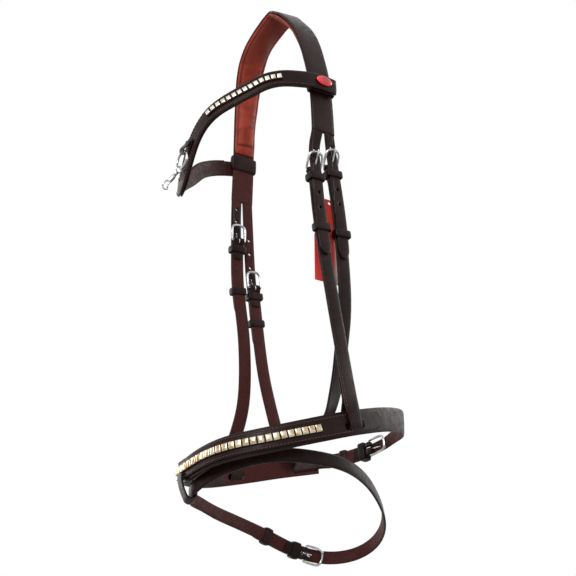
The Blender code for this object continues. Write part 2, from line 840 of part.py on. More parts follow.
def make_billet(label, side, front, strap, buckle, lap, crown, crown_line):
    """One of the crown's tabs, from the split down to its tip, united with the crown and punched."""
    end = crown_line.length if side > 0 else 0.0
    back = -1.0 if side > 0 else 1.0
    offset = (BILLET_WIDTH + CROWN_SPLIT) / 2 * (-1.0 if front else 1.0)
    points, sides = [], []
    for reach in (BILLET_ROOT, 0.0):
        place, _, across, out = crown_line.frame(end + back * reach)
        rearward = across if across[1] > 0 else -across
        points.append(place + rearward * offset)
        sides.append(out)
    count = 5
    for distance in [-BUCKLE_LENGTH * 1.1, 0.0] + [lap * (step + 1) / count for step in range(count)]:
        place, _, _, out = strap.frame(distance)
        points.append(place + out * buckle.billet_lift)
        sides.append(out)
    line = Path(points, sides)
    shape = StrapShape()
    shape.run(line, 0.0, line.length - BILLET_POINT, BILLET_WIDTH, BILLET_THICK, neck=False)
    shape.tip(line, line.length, BILLET_WIDTH, BILLET_THICK)
    billet = shape.build(label + "_billet_shape", None)
    combine(crown, billet, "UNION")
    used = line.nearest(buckle.slot_frame()[0])
    spots = [used + BILLET_HOLE_PITCH * index for index in (-3, -2, -1, 1, 2, 3)]
    spots = [spot for spot in spots if BILLET_ROOT * 1.6 < spot < line.length - BILLET_POINT]
    holes = [line.frame(spot) for spot in spots]
    cutter = prisms(label + "_holes", holes, BILLET_HOLE, BILLET_HOLE, BILLET_THICK + 2 * OVERRUN)
    combine(crown, cutter, "DIFFERENCE")
    buckle.cut_billet(crown, label)


def make_keepers(label, line, runner, width, thick, looks):
    """The fixed keeper over the turned end, and the runner that slides further down."""
    outer = thick / 2 + GAP + BILLET_THICK
    turned = thick / 2 + GAP + TURN_THICK
    places = (("_keeper_fixed", TURN_LENGTH * FIXED_KEEPER_SHARE, turned), ("_keeper_sliding", runner, thick / 2))
    for name, place, under in places:
        hoop(
            label + name,
            line.frame(place),
            width + 2 * KEEPER_ROOM,
            outer + under + 2 * KEEPER_ROOM,
            KEEPER_THICK,
            KEEPER_HEIGHT,
            looks["leather"],
            (outer - under) / 2,
        )


def make_hanger(side, shares, seat_shares, runner, lap, nose, layers, crown, crown_line, looks):
    """A noseband hanger: buckled to the crown's front billet, turned in through the noseband and sewn."""
    label = ("near" if side > 0 else "off") + "_hanger"
    seat, tangent, height, out = nose.frame(nose.nearest(placed(seat_shares)))
    height = height if height[2] > 0 else -height
    front = NOSE_THICK / 2 + GAP + RAISED_THICK + HANGER_SETTLE + STRAP_THICK / 2
    behind = -(NOSE_THICK / 2 + HANGER_SETTLE + GAP + TURN_THICK / 2)
    edge = NOSE_WIDTH / 2 + GAP
    fold = seat + height * HANGER_FOLD_RISE
    points = mirrored([placed(share) for share in shares], side)
    points += [seat + out * front + height * (edge + STRAP_WIDTH * 0.3), fold + out * front]
    line = Path(points, [SIDEWAYS * side] * (len(points) - 1) + [out])
    buckle = Buckle(line.frame(0.0), STRAP_THICK, side > 0)
    shape = StrapShape()
    shape.turned_head(line, STRAP_THICK)
    shape.run(line, NECK_LENGTH, line.length, STRAP_WIDTH, STRAP_THICK)
    middle, radius = (front + behind) / 2, (front - behind) / 2
    for degrees in (30, 60, 90, 120, 150, 180):
        turn = math.radians(degrees)
        reach = out * math.cos(turn) - height * math.sin(turn)
        thick = blend(STRAP_THICK, TURN_THICK, (degrees - 30) / 90)
        shape.add(fold + out * middle + reach * radius, reach, STRAP_WIDTH, thick)
    shape.add(seat + out * behind + height * edge, -out, STRAP_WIDTH, TURN_THICK)
    seam = STRAP_THICK / 2 + GAP + TURN_THICK / 2
    for rise in (edge + STRAP_WIDTH * 0.45, edge + STRAP_WIDTH, HANGER_SEAM):
        point, _, _, outward = line.frame(line.length - rise)
        shape.add(point - outward * seam, -outward, STRAP_WIDTH, TURN_THICK)
    strap = shape.build(label + "_strap", looks["leather"])
    high = radius + STRAP_THICK / 2 + HANGER_SLOT_ROOM
    low = math.sqrt(radius**2 - (middle + NOSE_THICK / 2) ** 2) - STRAP_THICK / 2 - HANGER_SLOT_ROOM
    slot = (fold + out * middle - height * (high + low) / 2, tangent, height, out)
    long = STRAP_WIDTH + (high - low) + 2 * HANGER_SLOT_ROOM
    for layer in layers:
        cutter = prisms(label + "_slot_" + layer.name, [slot], long, high - low, 2 * radius)
        combine(layer, cutter, "DIFFERENCE")
    buckle.build(label, looks)
    buckle.cut_turn(strap, label)
    make_billet(label, side, True, line, buckle, lap, crown, crown_line)
    make_keepers(label, line, runner, STRAP_WIDTH, STRAP_THICK, looks)
    return line.point(runner)


def make_cheek(side, shares, foot_sides, runner, lap, crown, crown_line, looks):
    """A cheekpiece: buckled to the crown's rear billet, its foot turned back into an eye for the bit."""
    label = ("near" if side > 0 else "off") + "_cheek"
    points = mirrored([placed(share) for share in shares], side)
    sides = [SIDEWAYS * side] * (len(points) - len(foot_sides)) + [np.array(way) for way in foot_sides]
    line = Path(points, sides)
    buckle = Buckle(line.frame(0.0), STRAP_THICK, side > 0)
    shape = StrapShape()
    shape.turned_head(line, STRAP_THICK)
    shape.run(line, NECK_LENGTH, line.length, STRAP_WIDTH, STRAP_THICK)
    foot, along, _, out = line.frame(line.length)
    for degrees in (30, 65, 100, 135, 170):
        turn = math.radians(degrees)
        reach = out * math.cos(turn) + along * math.sin(turn)
        thick = blend(STRAP_THICK, BILLET_THICK, degrees / 180)
        shape.add(foot - out * BIT_EYE + reach * BIT_EYE, reach, BILLET_WIDTH, thick)
    seat = STRAP_THICK / 2 + 2 * GAP + STUD_PLATE + BILLET_THICK / 2
    for back, depth in ((BIT_RETURN * 0.22, (seat + 2 * BIT_EYE) / 2), (BIT_RETURN * 0.42, seat)):
        point, _, _, outward = line.frame(line.length - back)
        shape.add(point - outward * depth, -outward, BILLET_WIDTH, BILLET_THICK)
    for back, width_share in ((0.64, 1.0), (0.86, 1.0), (0.95, 0.8), (1.0, 0.36)):
        point, _, _, outward = line.frame(line.length - BIT_RETURN * back)
        shape.add(point - outward * seat, -outward, BILLET_WIDTH * width_share, BILLET_THICK)
    strap = shape.build(label + "_strap", looks["leather"])
    buckle.build(label, looks)
    buckle.cut_turn(strap, label)
    make_billet(label, side, False, line, buckle, lap, crown, crown_line)
    make_keepers(label, line, runner, STRAP_WIDTH, STRAP_THICK, looks)
    frame = line.frame(line.length - BIT_RETURN * 0.64)
    hole = lifted(frame, -seat)
    depth = BILLET_THICK + 2 * (GAP + STUD_PLATE)
    wide = 2 * (STUD_NECK + STUD_ROOM)
    combine(strap, prisms(label + "_stud_hole", [hole], wide, wide, depth), "DIFFERENCE")
    top = STUD_PLATE + 2 * GAP + BILLET_THICK
    outline = (
        (STUD_BASE, 0.0),
        (STUD_BASE, STUD_PLATE),
        (STUD_NECK, STUD_PLATE),
        (STUD_NECK, top),
        (STUD_HEAD, top),
        (STUD_HEAD, top + STUD_PLATE),
        (STUD_HEAD * 0.5, top + STUD_PLATE * 1.6),
    )
    point, _, _, outward = frame
    start = point - outward * (STRAP_THICK / 2 + GAP)
    turning(label + "_hook_stud", start, -outward, outline, looks["steel"])


def nose_path():
    """The noseband's line from the nose, along the near side to the chin, and back on the off side."""
    points = [placed(share) for share in NOSE_SHARES]
    sides = [unit((point[0], point[1], 0.0)) for point in points]
    return Path(points, sides, closed=True)


def clincher_strip(name, line, start, count, lift, look, heading=1):
    """A carrier strip with a row of raised metal squares."""
    rings = []
    half = CLINCHER_WIDTH / 2
    spots = [(index, share) for index in range(count) for share in (0.0, 0.16, 0.84)] + [(count, 0.0)]
    for index, share in spots:
        place = start + heading * (index + share) * CLINCHER_PITCH
        top = CLINCHER_RISE if share else CLINCHER_BASE
        in_half = half * (0.72 if share else 0.96)
        profile = [(-half, 0.0), (half, 0.0), (in_half, top), (-in_half, top)]
        rings.append(section(line.frame(place), profile, lift))
    return solid(name, rings, look)


def make_noseband(nose, looks):
    """The band, with its near end as a billet, its pad, raised strip and clinchers."""
    billet_lift = STRAP_THICK / 2 + GAP + BILLET_THICK / 2
    chin_bar = CHIN_BAR_SHARE * nose.length
    start = chin_bar + CHIN_STRAP_REACH - CHIN_SEWN - nose.length
    stop = chin_bar + CHIN_LAP
    shape = StrapShape()
    for place in grid_places(NOSE_PITCH, start, stop - BILLET_POINT - NOSE_PITCH / 2):
        point, _, _, out = nose.frame(place)
        taper = (place - chin_bar + 2.6 * BUCKLE_LENGTH) / (1.6 * BUCKLE_LENGTH)
        lift = blend(0.0, billet_lift, (place - chin_bar + 1.9 * BUCKLE_LENGTH) / BUCKLE_LENGTH)
        width, thick = blend(NOSE_WIDTH, BILLET_WIDTH, taper), blend(NOSE_THICK, BILLET_THICK, taper)
        shape.add(point + out * lift, out, width, thick)
    shape.tip(nose, stop, BILLET_WIDTH, BILLET_THICK, billet_lift)
    band = shape.build("noseband_band", looks["leather"])
    spots = [chin_bar + BILLET_HOLE_PITCH * index for index in (-1, 1, 2)]
    holes = [lifted(nose.frame(spot), billet_lift) for spot in spots]
    cutter = prisms("chin_holes", holes, BILLET_HOLE, BILLET_HOLE, BILLET_THICK + GAP)
    combine(band, cutter, "DIFFERENCE")

    seats = [nose.nearest(placed(share)) for share in (NEAR_HANGER_SEAT_SHARES, OFF_HANGER_SEAT_SHARES)]
    near, off = seats[0], seats[1] - nose.length
    places = grid_places(NOSE_PITCH, off + STRAP_WIDTH, near - STRAP_WIDTH)
    rings = []
    for place in places:
        ends = place in (places[0], places[-1])
        profile = pad_profile(NOSE_WIDTH * (0.9 if ends else 0.98), NOSE_PAD_EDGE, NOSE_PAD_RISE * (not ends))
        rings.append(section(nose.frame(place), profile, -(NOSE_THICK / 2 + GAP)))
    solid("noseband_padding", rings, looks["flesh"])

    raised = StrapShape()
    rise = NOSE_THICK / 2 + GAP + RAISED_THICK / 2
    places = grid_places(NOSE_PITCH, off - 1.7 * NOSE_WIDTH, near + 1.7 * NOSE_WIDTH)
    point_share = 0.5 * NOSE_PITCH
    tips = [(places[0] - point_share, 0.25), (places[0] - point_share * 0.6, 0.72)]
    body = [(place, 1.0) for place in places]
    tips_after = [(places[-1] + point_share * 0.6, 0.72), (places[-1] + point_share, 0.25)]
    for place, width_share in tips + body + tips_after:
        point, _, _, out = nose.frame(place)
        raised.add(point + out * rise, out, RAISED_WIDTH * width_share, RAISED_THICK)
    strip = raised.build("noseband_raised", looks["leather"])
    top = NOSE_THICK / 2 + GAP + RAISED_THICK + GAP
    start = -NOSE_CLINCHERS * CLINCHER_PITCH / 2
    clincher_strip("noseband_clincher", nose, start, NOSE_CLINCHERS, top, looks["clincher"])
    return band, strip


def make_chin_strap(nose, band, looks):
    """The strap with the chin buckle, sewn inside the noseband's off end."""
    chin_bar = CHIN_BAR_SHARE * nose.length
    chin = Run(nose, chin_bar, 1)
    buckle = Buckle(chin.frame(0.0), STRAP_THICK, False)
    buckle.build("chin", looks)
    buckle.cut_billet(band, "chin")
    sewn = -(NOSE_THICK / 2 + GAP + STRAP_THICK / 2)
    lap_from = CHIN_STRAP_REACH - CHIN_SEWN

    def lift(place):
        return blend(0.0, sewn, (place - lap_from + CHIN_SEWN * 0.5) / (CHIN_SEWN * 0.4))

    strap = StrapShape()
    strap.turned_head(chin, STRAP_THICK)
    strap.run(chin, NECK_LENGTH, lap_from - CHIN_SEWN * 0.5, CHIN_WIDTH, STRAP_THICK, lift=lift)
    grid = grid_places(NOSE_PITCH, chin_bar + lap_from - NOSE_PITCH, chin_bar + CHIN_STRAP_REACH)
    for place in grid:
        point, _, _, out = nose.frame(place)
        strap.add(point + out * sewn, out, CHIN_WIDTH, STRAP_THICK)
    made = strap.build("chin_strap", looks["leather"])
    buckle.cut_turn(made, "chin")
    make_keepers("chin", chin, CHIN_RUNNER, CHIN_WIDTH, STRAP_THICK, looks)


def make_flash(nose, looks):
    """The flash strap, closed below the chin, and the loop that carries it at the nose."""
    points = [placed(share) for share in FLASH_SHARES]
    sides = [unit((point[0], point[1], 0.0)) for point in points]
    flash = Path(points, sides, closed=True)
    run = Run(flash, FLASH_BAR_SHARE * flash.length, 1)
    buckle = Buckle(run.frame(0.0), FLASH_THICK, False)
    buckle.build("flash", looks)
    strap = StrapShape()
    strap.turned_head(run, FLASH_THICK)
    around = flash.length + FLASH_LAP
    billet_lift = FLASH_THICK / 2 + GAP + BILLET_THICK / 2
    rise_from = flash.length - 1.9 * BUCKLE_LENGTH

    def lift(place):
        return blend(0.0, billet_lift, (place - rise_from) / BUCKLE_LENGTH)

    strap.run(run, NECK_LENGTH, around - BILLET_POINT, FLASH_WIDTH, FLASH_THICK, FLASH_PITCH, lift)
    strap.tip(run, around, FLASH_WIDTH, FLASH_THICK, billet_lift)
    made = strap.build("flash_strap", looks["leather"])
    buckle.cut_turn(made, "flash")
    buckle.cut_billet(made, "flash_tip")
    spots = [BILLET_HOLE_PITCH * index for index in (2, 3, 4)]
    holes = [lifted(run.frame(flash.length + spot), billet_lift) for spot in spots]
    cutter = prisms("flash_holes", holes, BILLET_HOLE, BILLET_HOLE, BILLET_THICK + GAP)
    combine(made, cutter, "DIFFERENCE")
    make_keepers("flash", run, FLASH_RUNNER, FLASH_WIDTH, FLASH_THICK, looks)

    seat, along, _, out = nose.frame(0.0)
    down = unit(DOWN - along * DOWN.dot(along))
    middle, _, hang, front = flash.frame(flash.nearest(seat + DOWN * NOSE_WIDTH))
    hang = hang if hang[2] < 0 else -hang
    low = FLASH_WIDTH / 2 + FLASH_LOOP_ROOM
    half = FLASH_LOOP_DEPTH / 2
    wall = FLASH_LOOP_THICK / 2
    over = NOSE_THICK / 2 + GAP + RAISED_THICK + GAP + wall
    behind = NOSE_THICK / 2 + GAP + NOSE_PAD_EDGE + NOSE_PAD_RISE + 3 * FLASH_LOOP_ROOM + wall
    loop = StrapShape()
    for drop in (CLINCHER_WIDTH / 2 + GAP, NOSE_WIDTH / 2):
        loop.add(seat + out * over + down * drop, out, FLASH_LOOP_LENGTH, FLASH_LOOP_THICK)
    centre = middle + hang * (low - half)
    for degrees in (0, 45, 90, 135, 180):
        turn = math.radians(degrees)
        reach = front * math.cos(turn) + hang * math.sin(turn)
        loop.add(centre + reach * (half + wall), reach, FLASH_LOOP_LENGTH, FLASH_LOOP_THICK)
    loop.add(middle - front * (half + wall) - hang * (low + wall), -front, FLASH_LOOP_LENGTH, FLASH_LOOP_THICK)
    loop.add(seat - out * behind + down * NOSE_WIDTH * 0.36, -out, FLASH_LOOP_LENGTH, FLASH_LOOP_THICK)
    loop.build("flash_loop", looks["leather"])
    return flash


def brow_path():
    points = [placed(share) for share in BROW_SHARES]
    sides = [unit((point[0], point[1], 0.0)) for point in points]
    sides[0] = SIDEWAYS
    sides[-1] = -SIDEWAYS
    return Path(points, sides)


def make_browband(crown_line, looks):
    """The drooping browband with its end loops, clinchers and badge."""
    line = brow_path()
    count = 36
    places = [line.length * step / count for step in range(count + 1)]
    rings = [section(line.frame(p), band_profile(BROW_WIDTH, BROW_THICK)) for p in places]
    solid("browband_strap", rings, looks["leather"])
    inset = int(round(CROWN_LEG_WIDTH * count / line.length)) + 1
    lift = -(BROW_THICK / 2 + 2 * GAP + BROW_LINING_THICK / 2)
    profile = band_profile(BROW_WIDTH * 0.94, BROW_LINING_THICK)
    rings = [section(line.frame(p), profile, lift) for p in places[inset:-inset]]
    solid("browband_lining", rings, looks["flesh"])
    near_loop, off_loop = loop_heights()
    for name, side, height in (("near", 1, near_loop), ("off", -1, off_loop)):
        hoop(
            "browband_loop_" + name,
            crown_line.frame(crown_line.at_height(height, side)),
            CROWN_LEG_WIDTH + 2 * BROW_LOOP_ROOM,
            CROWN_THICK + 2 * BROW_LOOP_ROOM,
            BROW_LOOP_THICK,
            BROW_LOOP_HEIGHT,
            looks["leather"],
        )
    start = line.length * BROW_CLINCHER_SHARE
    top = BROW_THICK / 2 + 2 * GAP
    clincher_strip("browband_clincher_near", line, start, BROW_CLINCHERS, top, looks["clincher"])
    start = line.length * (1 - BROW_CLINCHER_SHARE)
    clincher_strip("browband_clincher_off", line, start, BROW_CLINCHERS, top, looks["clincher"], -1)
    point, along, across, out = line.frame(line.length * BADGE_PLACE_SHARE)
    rings = []
    for size, height_share in ((1.0, 0.0), (1.0, 0.55), (0.86, 0.88), (0.5, 1.0)):
        ring = []
        for index in range(16):
            turn = 2 * math.pi * index / 16
            reach = along * math.cos(turn) * BADGE_LENGTH / 2 + across * math.sin(turn) * BADGE_HEIGHT / 2
            ring.append(point + reach * size + out * (top + BADGE_THICK * height_share))
        rings.append(ring)
    solid("browband_badge", rings, looks["red"])
    return line


def make_ring_and_snap(line, looks):
    """The leather tab near the browband's dip, the ring that hangs in it, and the snap on the ring."""
    point, along, across, out = line.frame(line.length * TAB_PLACE_SHARE)
    under = BROW_THICK / 2 + GAP + TAB_THICK / 2
    bend = (RING_DIAMETER - RING_WIRE) / 2
    sag = bend - math.sqrt(bend**2 - (TAB_WIDTH / 2) ** 2)
    radius = (RING_WIRE + sag) / 2 + GAP + TAB_THICK / 2
    tab = StrapShape()
    pin = point + out * (under + radius)
    for back in (1.0, 0.5, 0.0):
        tab.add(point + out * under - along * TAB_LENGTH * back, -out, TAB_WIDTH, TAB_THICK)
    for degrees in (150, 120, 90, 60, 30, 0):
        turn = math.radians(degrees)
        reach = out * math.cos(turn) + along * math.sin(turn)
        tab.add(pin + reach * radius, reach, TAB_WIDTH, TAB_THICK)
    tab.add(pin + out * radius - along * (sag + RING_WIRE / 2), out, TAB_WIDTH, TAB_THICK)
    fold = under + TAB_THICK + GAP
    for back in (0.55, 0.80):
        tab.add(point + out * fold - along * TAB_LENGTH * back, out, TAB_WIDTH, TAB_THICK)
    tab.build("browband_ring_tab", looks["leather"])
    top = pin - along * sag / 2
    centre = top + along * bend
    wire_ring("browband_ring", centre, out, RING_DIAMETER, RING_WIRE, looks["steel"], pin)

    low = top + along * 2 * bend
    hang = unit(DOWN + out * SNAP_LEAN_SHARE)
    hang = unit(hang - across * hang.dot(across))
    eye = low + hang * (SNAP_EYE / 2 - SNAP_WIRE - RING_WIRE / 2 - GAP)
    swivel = wire_ring("snap_swivel", eye, across, SNAP_EYE, SNAP_WIRE, looks["steel"], low, 14)
    stem = SNAP_BALL * 0.9
    start = eye + hang * (SNAP_EYE / 2 - SNAP_WIRE * 0.7)
    outline = ((SNAP_WIRE * 0.5, 0.0), (SNAP_BALL * 0.42, stem * 0.35), (SNAP_BALL * 0.5, stem * 0.7))
    knob = turning("snap_knob_shape", start, hang, outline + ((SNAP_BALL * 0.36, stem),), None, 10)
    combine(swivel, knob, "UNION")
    head = start + hang * (stem + GAP)
    half = SNAP_BARREL / 2
    outline = (
        (half * 0.70, 0.0),
        (half, SNAP_BARREL_LENGTH * 0.15),
        (half, SNAP_BARREL_LENGTH * 0.85),
        (half * 0.85, SNAP_BARREL_LENGTH),
    )
    body = turning("snap_body", head, hang, outline, looks["steel"], 12)
    foot = head + hang * SNAP_BARREL_LENGTH
    aside = unit(np.cross(hang, across))
    bolt_off = half * 0.42
    bend = SNAP_HOOK * 0.34
    hook = [foot - aside * bolt_off - hang * SNAP_HOOK_WIRE * 0.8, foot - aside * bend + hang * SNAP_HOOK * 0.3]
    middle = foot + hang * (SNAP_HOOK - bend - SNAP_HOOK_WIRE / 2)
    for degrees in (180, 140, 100, 60, 20):
        turn = math.radians(degrees)
        hook.append(middle + aside * math.cos(turn) * bend + hang * math.sin(turn) * bend)
    hook.append(middle + aside * bolt_off - hang * bend * 0.35)
    combine(body, rod("snap_hook_shape", hook, across, SNAP_HOOK_WIRE, None), "UNION")
    bore = foot + aside * bolt_off - hang * (SNAP_BOLT_TRAVEL + GAP) / 2
    deep = SNAP_BOLT_TRAVEL + GAP
    outline = ((SNAP_BOLT / 2 + GAP, -deep), (SNAP_BOLT / 2 + GAP, deep))
    combine(body, turning("snap_bore_shape", bore, hang, outline, None, 8), "DIFFERENCE")
    tip = middle - hang * (bend * 0.35 + SNAP_HOOK_WIRE * 0.25)
    reach = (tip - foot).dot(hang) - GAP
    outline = ((SNAP_BOLT / 2, -SNAP_BOLT_TRAVEL * 0.35), (SNAP_BOLT / 2, reach))
    turning("snap_bolt", foot + aside * bolt_off, hang, outline, looks["steel"], 8)


def make_tag(runner, looks):
    """A bare card tag that hangs flat behind the near hanger's runner, narrow at its top."""
    behind = STRAP_THICK / 2 + KEEPER_ROOM + KEEPER_THICK + 3 * GAP + TAG_THICK / 2
    corner = placed(TAG_PLACE_SHARES) + SIDEWAYS * (runner[0] - behind)
    wide = -FORWARD
    across = (TAG_OUTLINE_SHARES[0][0] + TAG_OUTLINE_SHARES[1][0]) / 2
    eye = corner + wide * TAG_WIDTH * across + DOWN * TAG_EYE_DROP
    rings = []
    for depth in (-TAG_THICK / 2, TAG_THICK / 2):
        face = corner + SIDEWAYS * depth
        rings.append([face + wide * TAG_WIDTH * a + DOWN * TAG_HEIGHT * b for a, b in TAG_OUTLINE_SHARES])
    tag = solid("swing_tag", rings, looks["card"], origin=eye)
    cutter = prisms("tag_hole", [(eye, wide, UP, SIDEWAYS)], TAG_HOLE, TAG_HOLE, TAG_THICK + OVERRUN)
    combine(tag, cutter, "DIFFERENCE")


def main():
    clear_scene()
    looks = bridle_finishes()
    crown_line = crown_path()
    crown = make_crown(crown_line, looks)
    nose = nose_path()
    layers = make_noseband(nose, looks)
    make_chin_strap(nose, layers[0], looks)
    hangers = (
        (1, NEAR_HANGER_SHARES, NEAR_HANGER_SEAT_SHARES, NEAR_HANGER_RUNNER, NEAR_HANGER_LAP),
        (-1, OFF_HANGER_SHARES, OFF_HANGER_SEAT_SHARES, OFF_HANGER_RUNNER, OFF_HANGER_LAP),
    )
    runners = [make_hanger(*hanger, nose, layers, crown, crown_line, looks) for hanger in hangers]
    cheeks = (
        (1, NEAR_CHEEK_SHARES, NEAR_CHEEK_FOOT_SHARES, NEAR_CHEEK_RUNNER, NEAR_CHEEK_LAP),
        (-1, OFF_CHEEK_SHARES, (), OFF_CHEEK_RUNNER, OFF_CHEEK_LAP),
    )
    for cheek in cheeks:
        make_cheek(*cheek, crown, crown_line, looks)
    make_flash(nose, looks)
    brow = make_browband(crown_line, looks)
    make_ring_and_snap(brow, looks)
    make_tag(runners[0], looks)


main()
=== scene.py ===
"""English bridle, dressed: soft leather straps, sewn padding, clinchers, buckles, ring, snap and swing tag.

Metres, +Z up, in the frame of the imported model. The near side is +X and the front is -Y.
"""

import json
import logging
import math
from collections.abc import Iterator
from contextlib import contextmanager
from dataclasses import dataclass
from enum import Enum

import bpy
import numpy as np
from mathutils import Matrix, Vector

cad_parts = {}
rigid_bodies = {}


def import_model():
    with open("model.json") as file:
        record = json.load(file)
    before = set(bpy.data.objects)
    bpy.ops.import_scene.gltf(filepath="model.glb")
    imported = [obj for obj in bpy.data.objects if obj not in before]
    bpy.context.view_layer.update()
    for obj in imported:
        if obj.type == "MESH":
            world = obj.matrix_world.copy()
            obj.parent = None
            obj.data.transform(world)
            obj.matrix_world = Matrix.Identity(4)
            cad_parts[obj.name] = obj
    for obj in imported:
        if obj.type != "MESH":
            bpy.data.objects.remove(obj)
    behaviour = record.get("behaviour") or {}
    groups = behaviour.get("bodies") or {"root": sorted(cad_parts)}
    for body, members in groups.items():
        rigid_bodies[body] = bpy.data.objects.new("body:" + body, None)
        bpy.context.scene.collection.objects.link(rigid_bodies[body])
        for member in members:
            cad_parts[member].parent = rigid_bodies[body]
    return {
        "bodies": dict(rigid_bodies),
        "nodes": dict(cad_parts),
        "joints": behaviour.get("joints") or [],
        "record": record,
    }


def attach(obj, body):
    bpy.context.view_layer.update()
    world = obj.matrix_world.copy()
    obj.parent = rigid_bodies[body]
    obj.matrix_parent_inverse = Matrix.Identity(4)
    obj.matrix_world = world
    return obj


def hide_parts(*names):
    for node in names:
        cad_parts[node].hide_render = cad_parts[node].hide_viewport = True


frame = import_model()

LOG = logging.getLogger("bridle")

Colour = tuple[float, float, float]
Share = tuple[float, float, float]
# Where a copy goes: its point, the direction along it and its outward side.
Place = tuple[np.ndarray, np.ndarray, np.ndarray]
Socket = bpy.types.NodeSocket

# The head's half width, reach and drop, and its poll's reach and height.
HEAD = (0.100, 0.114, 0.560)
POLL = (0.0150, 0.0037)
# From this far out, the crown's legs face straight away from the head.
SHOULDER = HEAD[0] * 0.80
# How far along the crown each place of its arch is averaged.
ARCH_REACH = 0.009
# How far over the noseband's line a hanger ends, and how far above its end its fold starts.
SEAT_OUT = 0.0057
FOLD_UP = 0.0163

# The points of each line, as shares of the head's sizes.
CROWN_SHARES: tuple[Share, ...] = (
    (0.000, -0.132, -0.0075), (0.094, -0.138, -0.0034), (0.189, -0.167, 0.0113), (0.307, -0.202, 0.0316),
    (0.427, -0.215, 0.0557), (0.536, -0.204, 0.0786), (0.614, -0.184, 0.1030), (0.690, -0.162, 0.1402),
    (0.752, -0.145, 0.1829), (0.800, -0.128, 0.2250), (0.828, -0.116, 0.2682), (0.843, -0.111, 0.3080),
    (0.858, -0.110, 0.3680),
)
NEAR_HANGER_SHARES: tuple[Share, ...] = (
    (0.800, -0.180, 0.4480), (0.830, -0.146, 0.5560), (0.872, -0.070, 0.6850), (0.935, -0.008, 0.8050),
)
OFF_HANGER_SHARES: tuple[Share, ...] = (
    (0.805, -0.175, 0.4680), (0.830, -0.146, 0.5600), (0.872, -0.040, 0.6850), (0.945, -0.006, 0.8050),
)
NEAR_SEAT_SHARE: Share = (1.020, 0.010, 0.929)
OFF_SEAT_SHARE: Share = (-0.990, -0.060, 0.935)
NEAR_CHEEK_SHARES: tuple[Share, ...] = (
    (0.800, 0.006, 0.4310), (0.835, 0.062, 0.5560), (0.820, 0.106, 0.6947), (0.790, 0.071, 0.7875),
    (0.790, 0.020, 0.8500), (0.775, -0.070, 0.9150), (0.725, -0.160, 0.9330), (0.672, -0.235, 0.9424),
    (0.620, -0.310, 0.9514),
)
# The outward sides where the near cheekpiece turns under at its lower end.
NEAR_CHEEK_TURN: tuple[Share, ...] = (
    (0.95, 0.10, -0.30), (0.55, 0.20, -0.80), (0.30, 0.20, -0.92), (0.30, 0.20, -0.92), (0.30, 0.20, -0.92),
)
OFF_CHEEK_SHARES: tuple[Share, ...] = (
    (0.850, 0.040, 0.5600), (0.850, 0.090, 0.6400), (0.845, 0.165, 0.7400), (0.830, 0.270, 0.8250),
    (0.800, 0.370, 0.9000),
)
NOSE_SHARES: tuple[Share, ...] = (
    (0.000, -0.973, 0.9920), (0.320, -0.942, 0.9830), (0.600, -0.857, 0.9770), (0.850, -0.642, 0.9680),
    (1.000, -0.269, 0.9465), (1.020, 0.017, 0.9284), (0.900, 0.415, 0.9035), (0.660, 0.770, 0.8838),
    (0.380, 0.940, 0.8805), (0.150, 0.950, 0.8887), (-0.100, 0.904, 0.8984), (-0.400, 0.820, 0.9053),
    (-0.700, 0.670, 0.9067), (-0.930, 0.400, 0.9135), (-1.000, 0.004, 0.9325), (-0.820, -0.454, 0.9580),
    (-0.420, -0.820, 0.9768),
)
FLASH_SHARES: tuple[Share, ...] = (
    (0.000, -0.930, 1.0285), (0.130, -0.925, 1.0190), (0.300, -0.835, 1.0020), (0.550, -0.690, 0.9890),
    (0.680, -0.462, 0.9800), (0.730, -0.167, 0.9780), (0.700, 0.138, 0.9804), (0.600, 0.396, 0.9929),
    (0.450, 0.616, 1.0132), (0.260, 0.801, 1.0325), (0.060, 0.915, 1.0499), (-0.160, 0.958, 1.0667),
    (-0.350, 0.900, 1.0804), (-0.480, 0.761, 1.0872), (-0.560, 0.568, 1.0857), (-0.600, 0.328, 1.0757),
    (-0.590, 0.067, 1.0580), (-0.530, -0.214, 1.0452), (-0.400, -0.517, 1.0370), (-0.250, -0.740, 1.0306),
    (-0.120, -0.875, 1.0320),
)
BROW_SHARES: tuple[Share, ...] = (
    (0.905, 0.010, 0.2640), (0.920, -0.190, 0.2650), (0.905, -0.380, 0.2730), (0.849, -0.545, 0.2777),
    (0.767, -0.680, 0.2870), (0.668, -0.787, 0.3020), (0.534, -0.904, 0.3180), (0.384, -1.006, 0.3330),
    (0.244, -1.060, 0.3510), (0.139, -1.098, 0.3800), (0.048, -1.111, 0.4140), (-0.018, -1.116, 0.4430),
    (-0.080, -1.108, 0.4590), (-0.180, -1.080, 0.4570), (-0.360, -1.020, 0.4300), (-0.549, -0.894, 0.3950),
    (-0.685, -0.768, 0.3660), (-0.805, -0.623, 0.3290), (-0.895, -0.446, 0.3020), (-0.922, -0.220, 0.2860),
    (-0.908, 0.010, 0.2790),
)


class Slot(Enum):
    """The record's material slots."""

    LEATHER = "dark_leather"
    FLESH = "brown_leather"
    LINING = "tan_lining"
    STEEL = "stainless_steel"
    CLINCHER = "pale_clincher"
    ENAMEL = "red_enamel"
    CARD = "red_card"


class Side(Enum):
    """The two sides of the horse."""

    NEAR = 1
    OFF = -1

    @property
    def label(self) -> str:
        """The side's word in node names."""
        return self.name.lower()


def unit(vector: np.ndarray | Share) -> np.ndarray:
    """Scales a vector to length one."""
    array = np.asarray(vector, float)
    return array / np.linalg.norm(array)


def placed(share: Share, side: int = 1) -> np.ndarray:
    """Turns shares of the head's sizes into a point in metres, mirrored to the off side by side -1."""
    return np.array((side * share[0] * HEAD[0], share[1] * HEAD[1] + POLL[0], POLL[1] - share[2] * HEAD[2]))


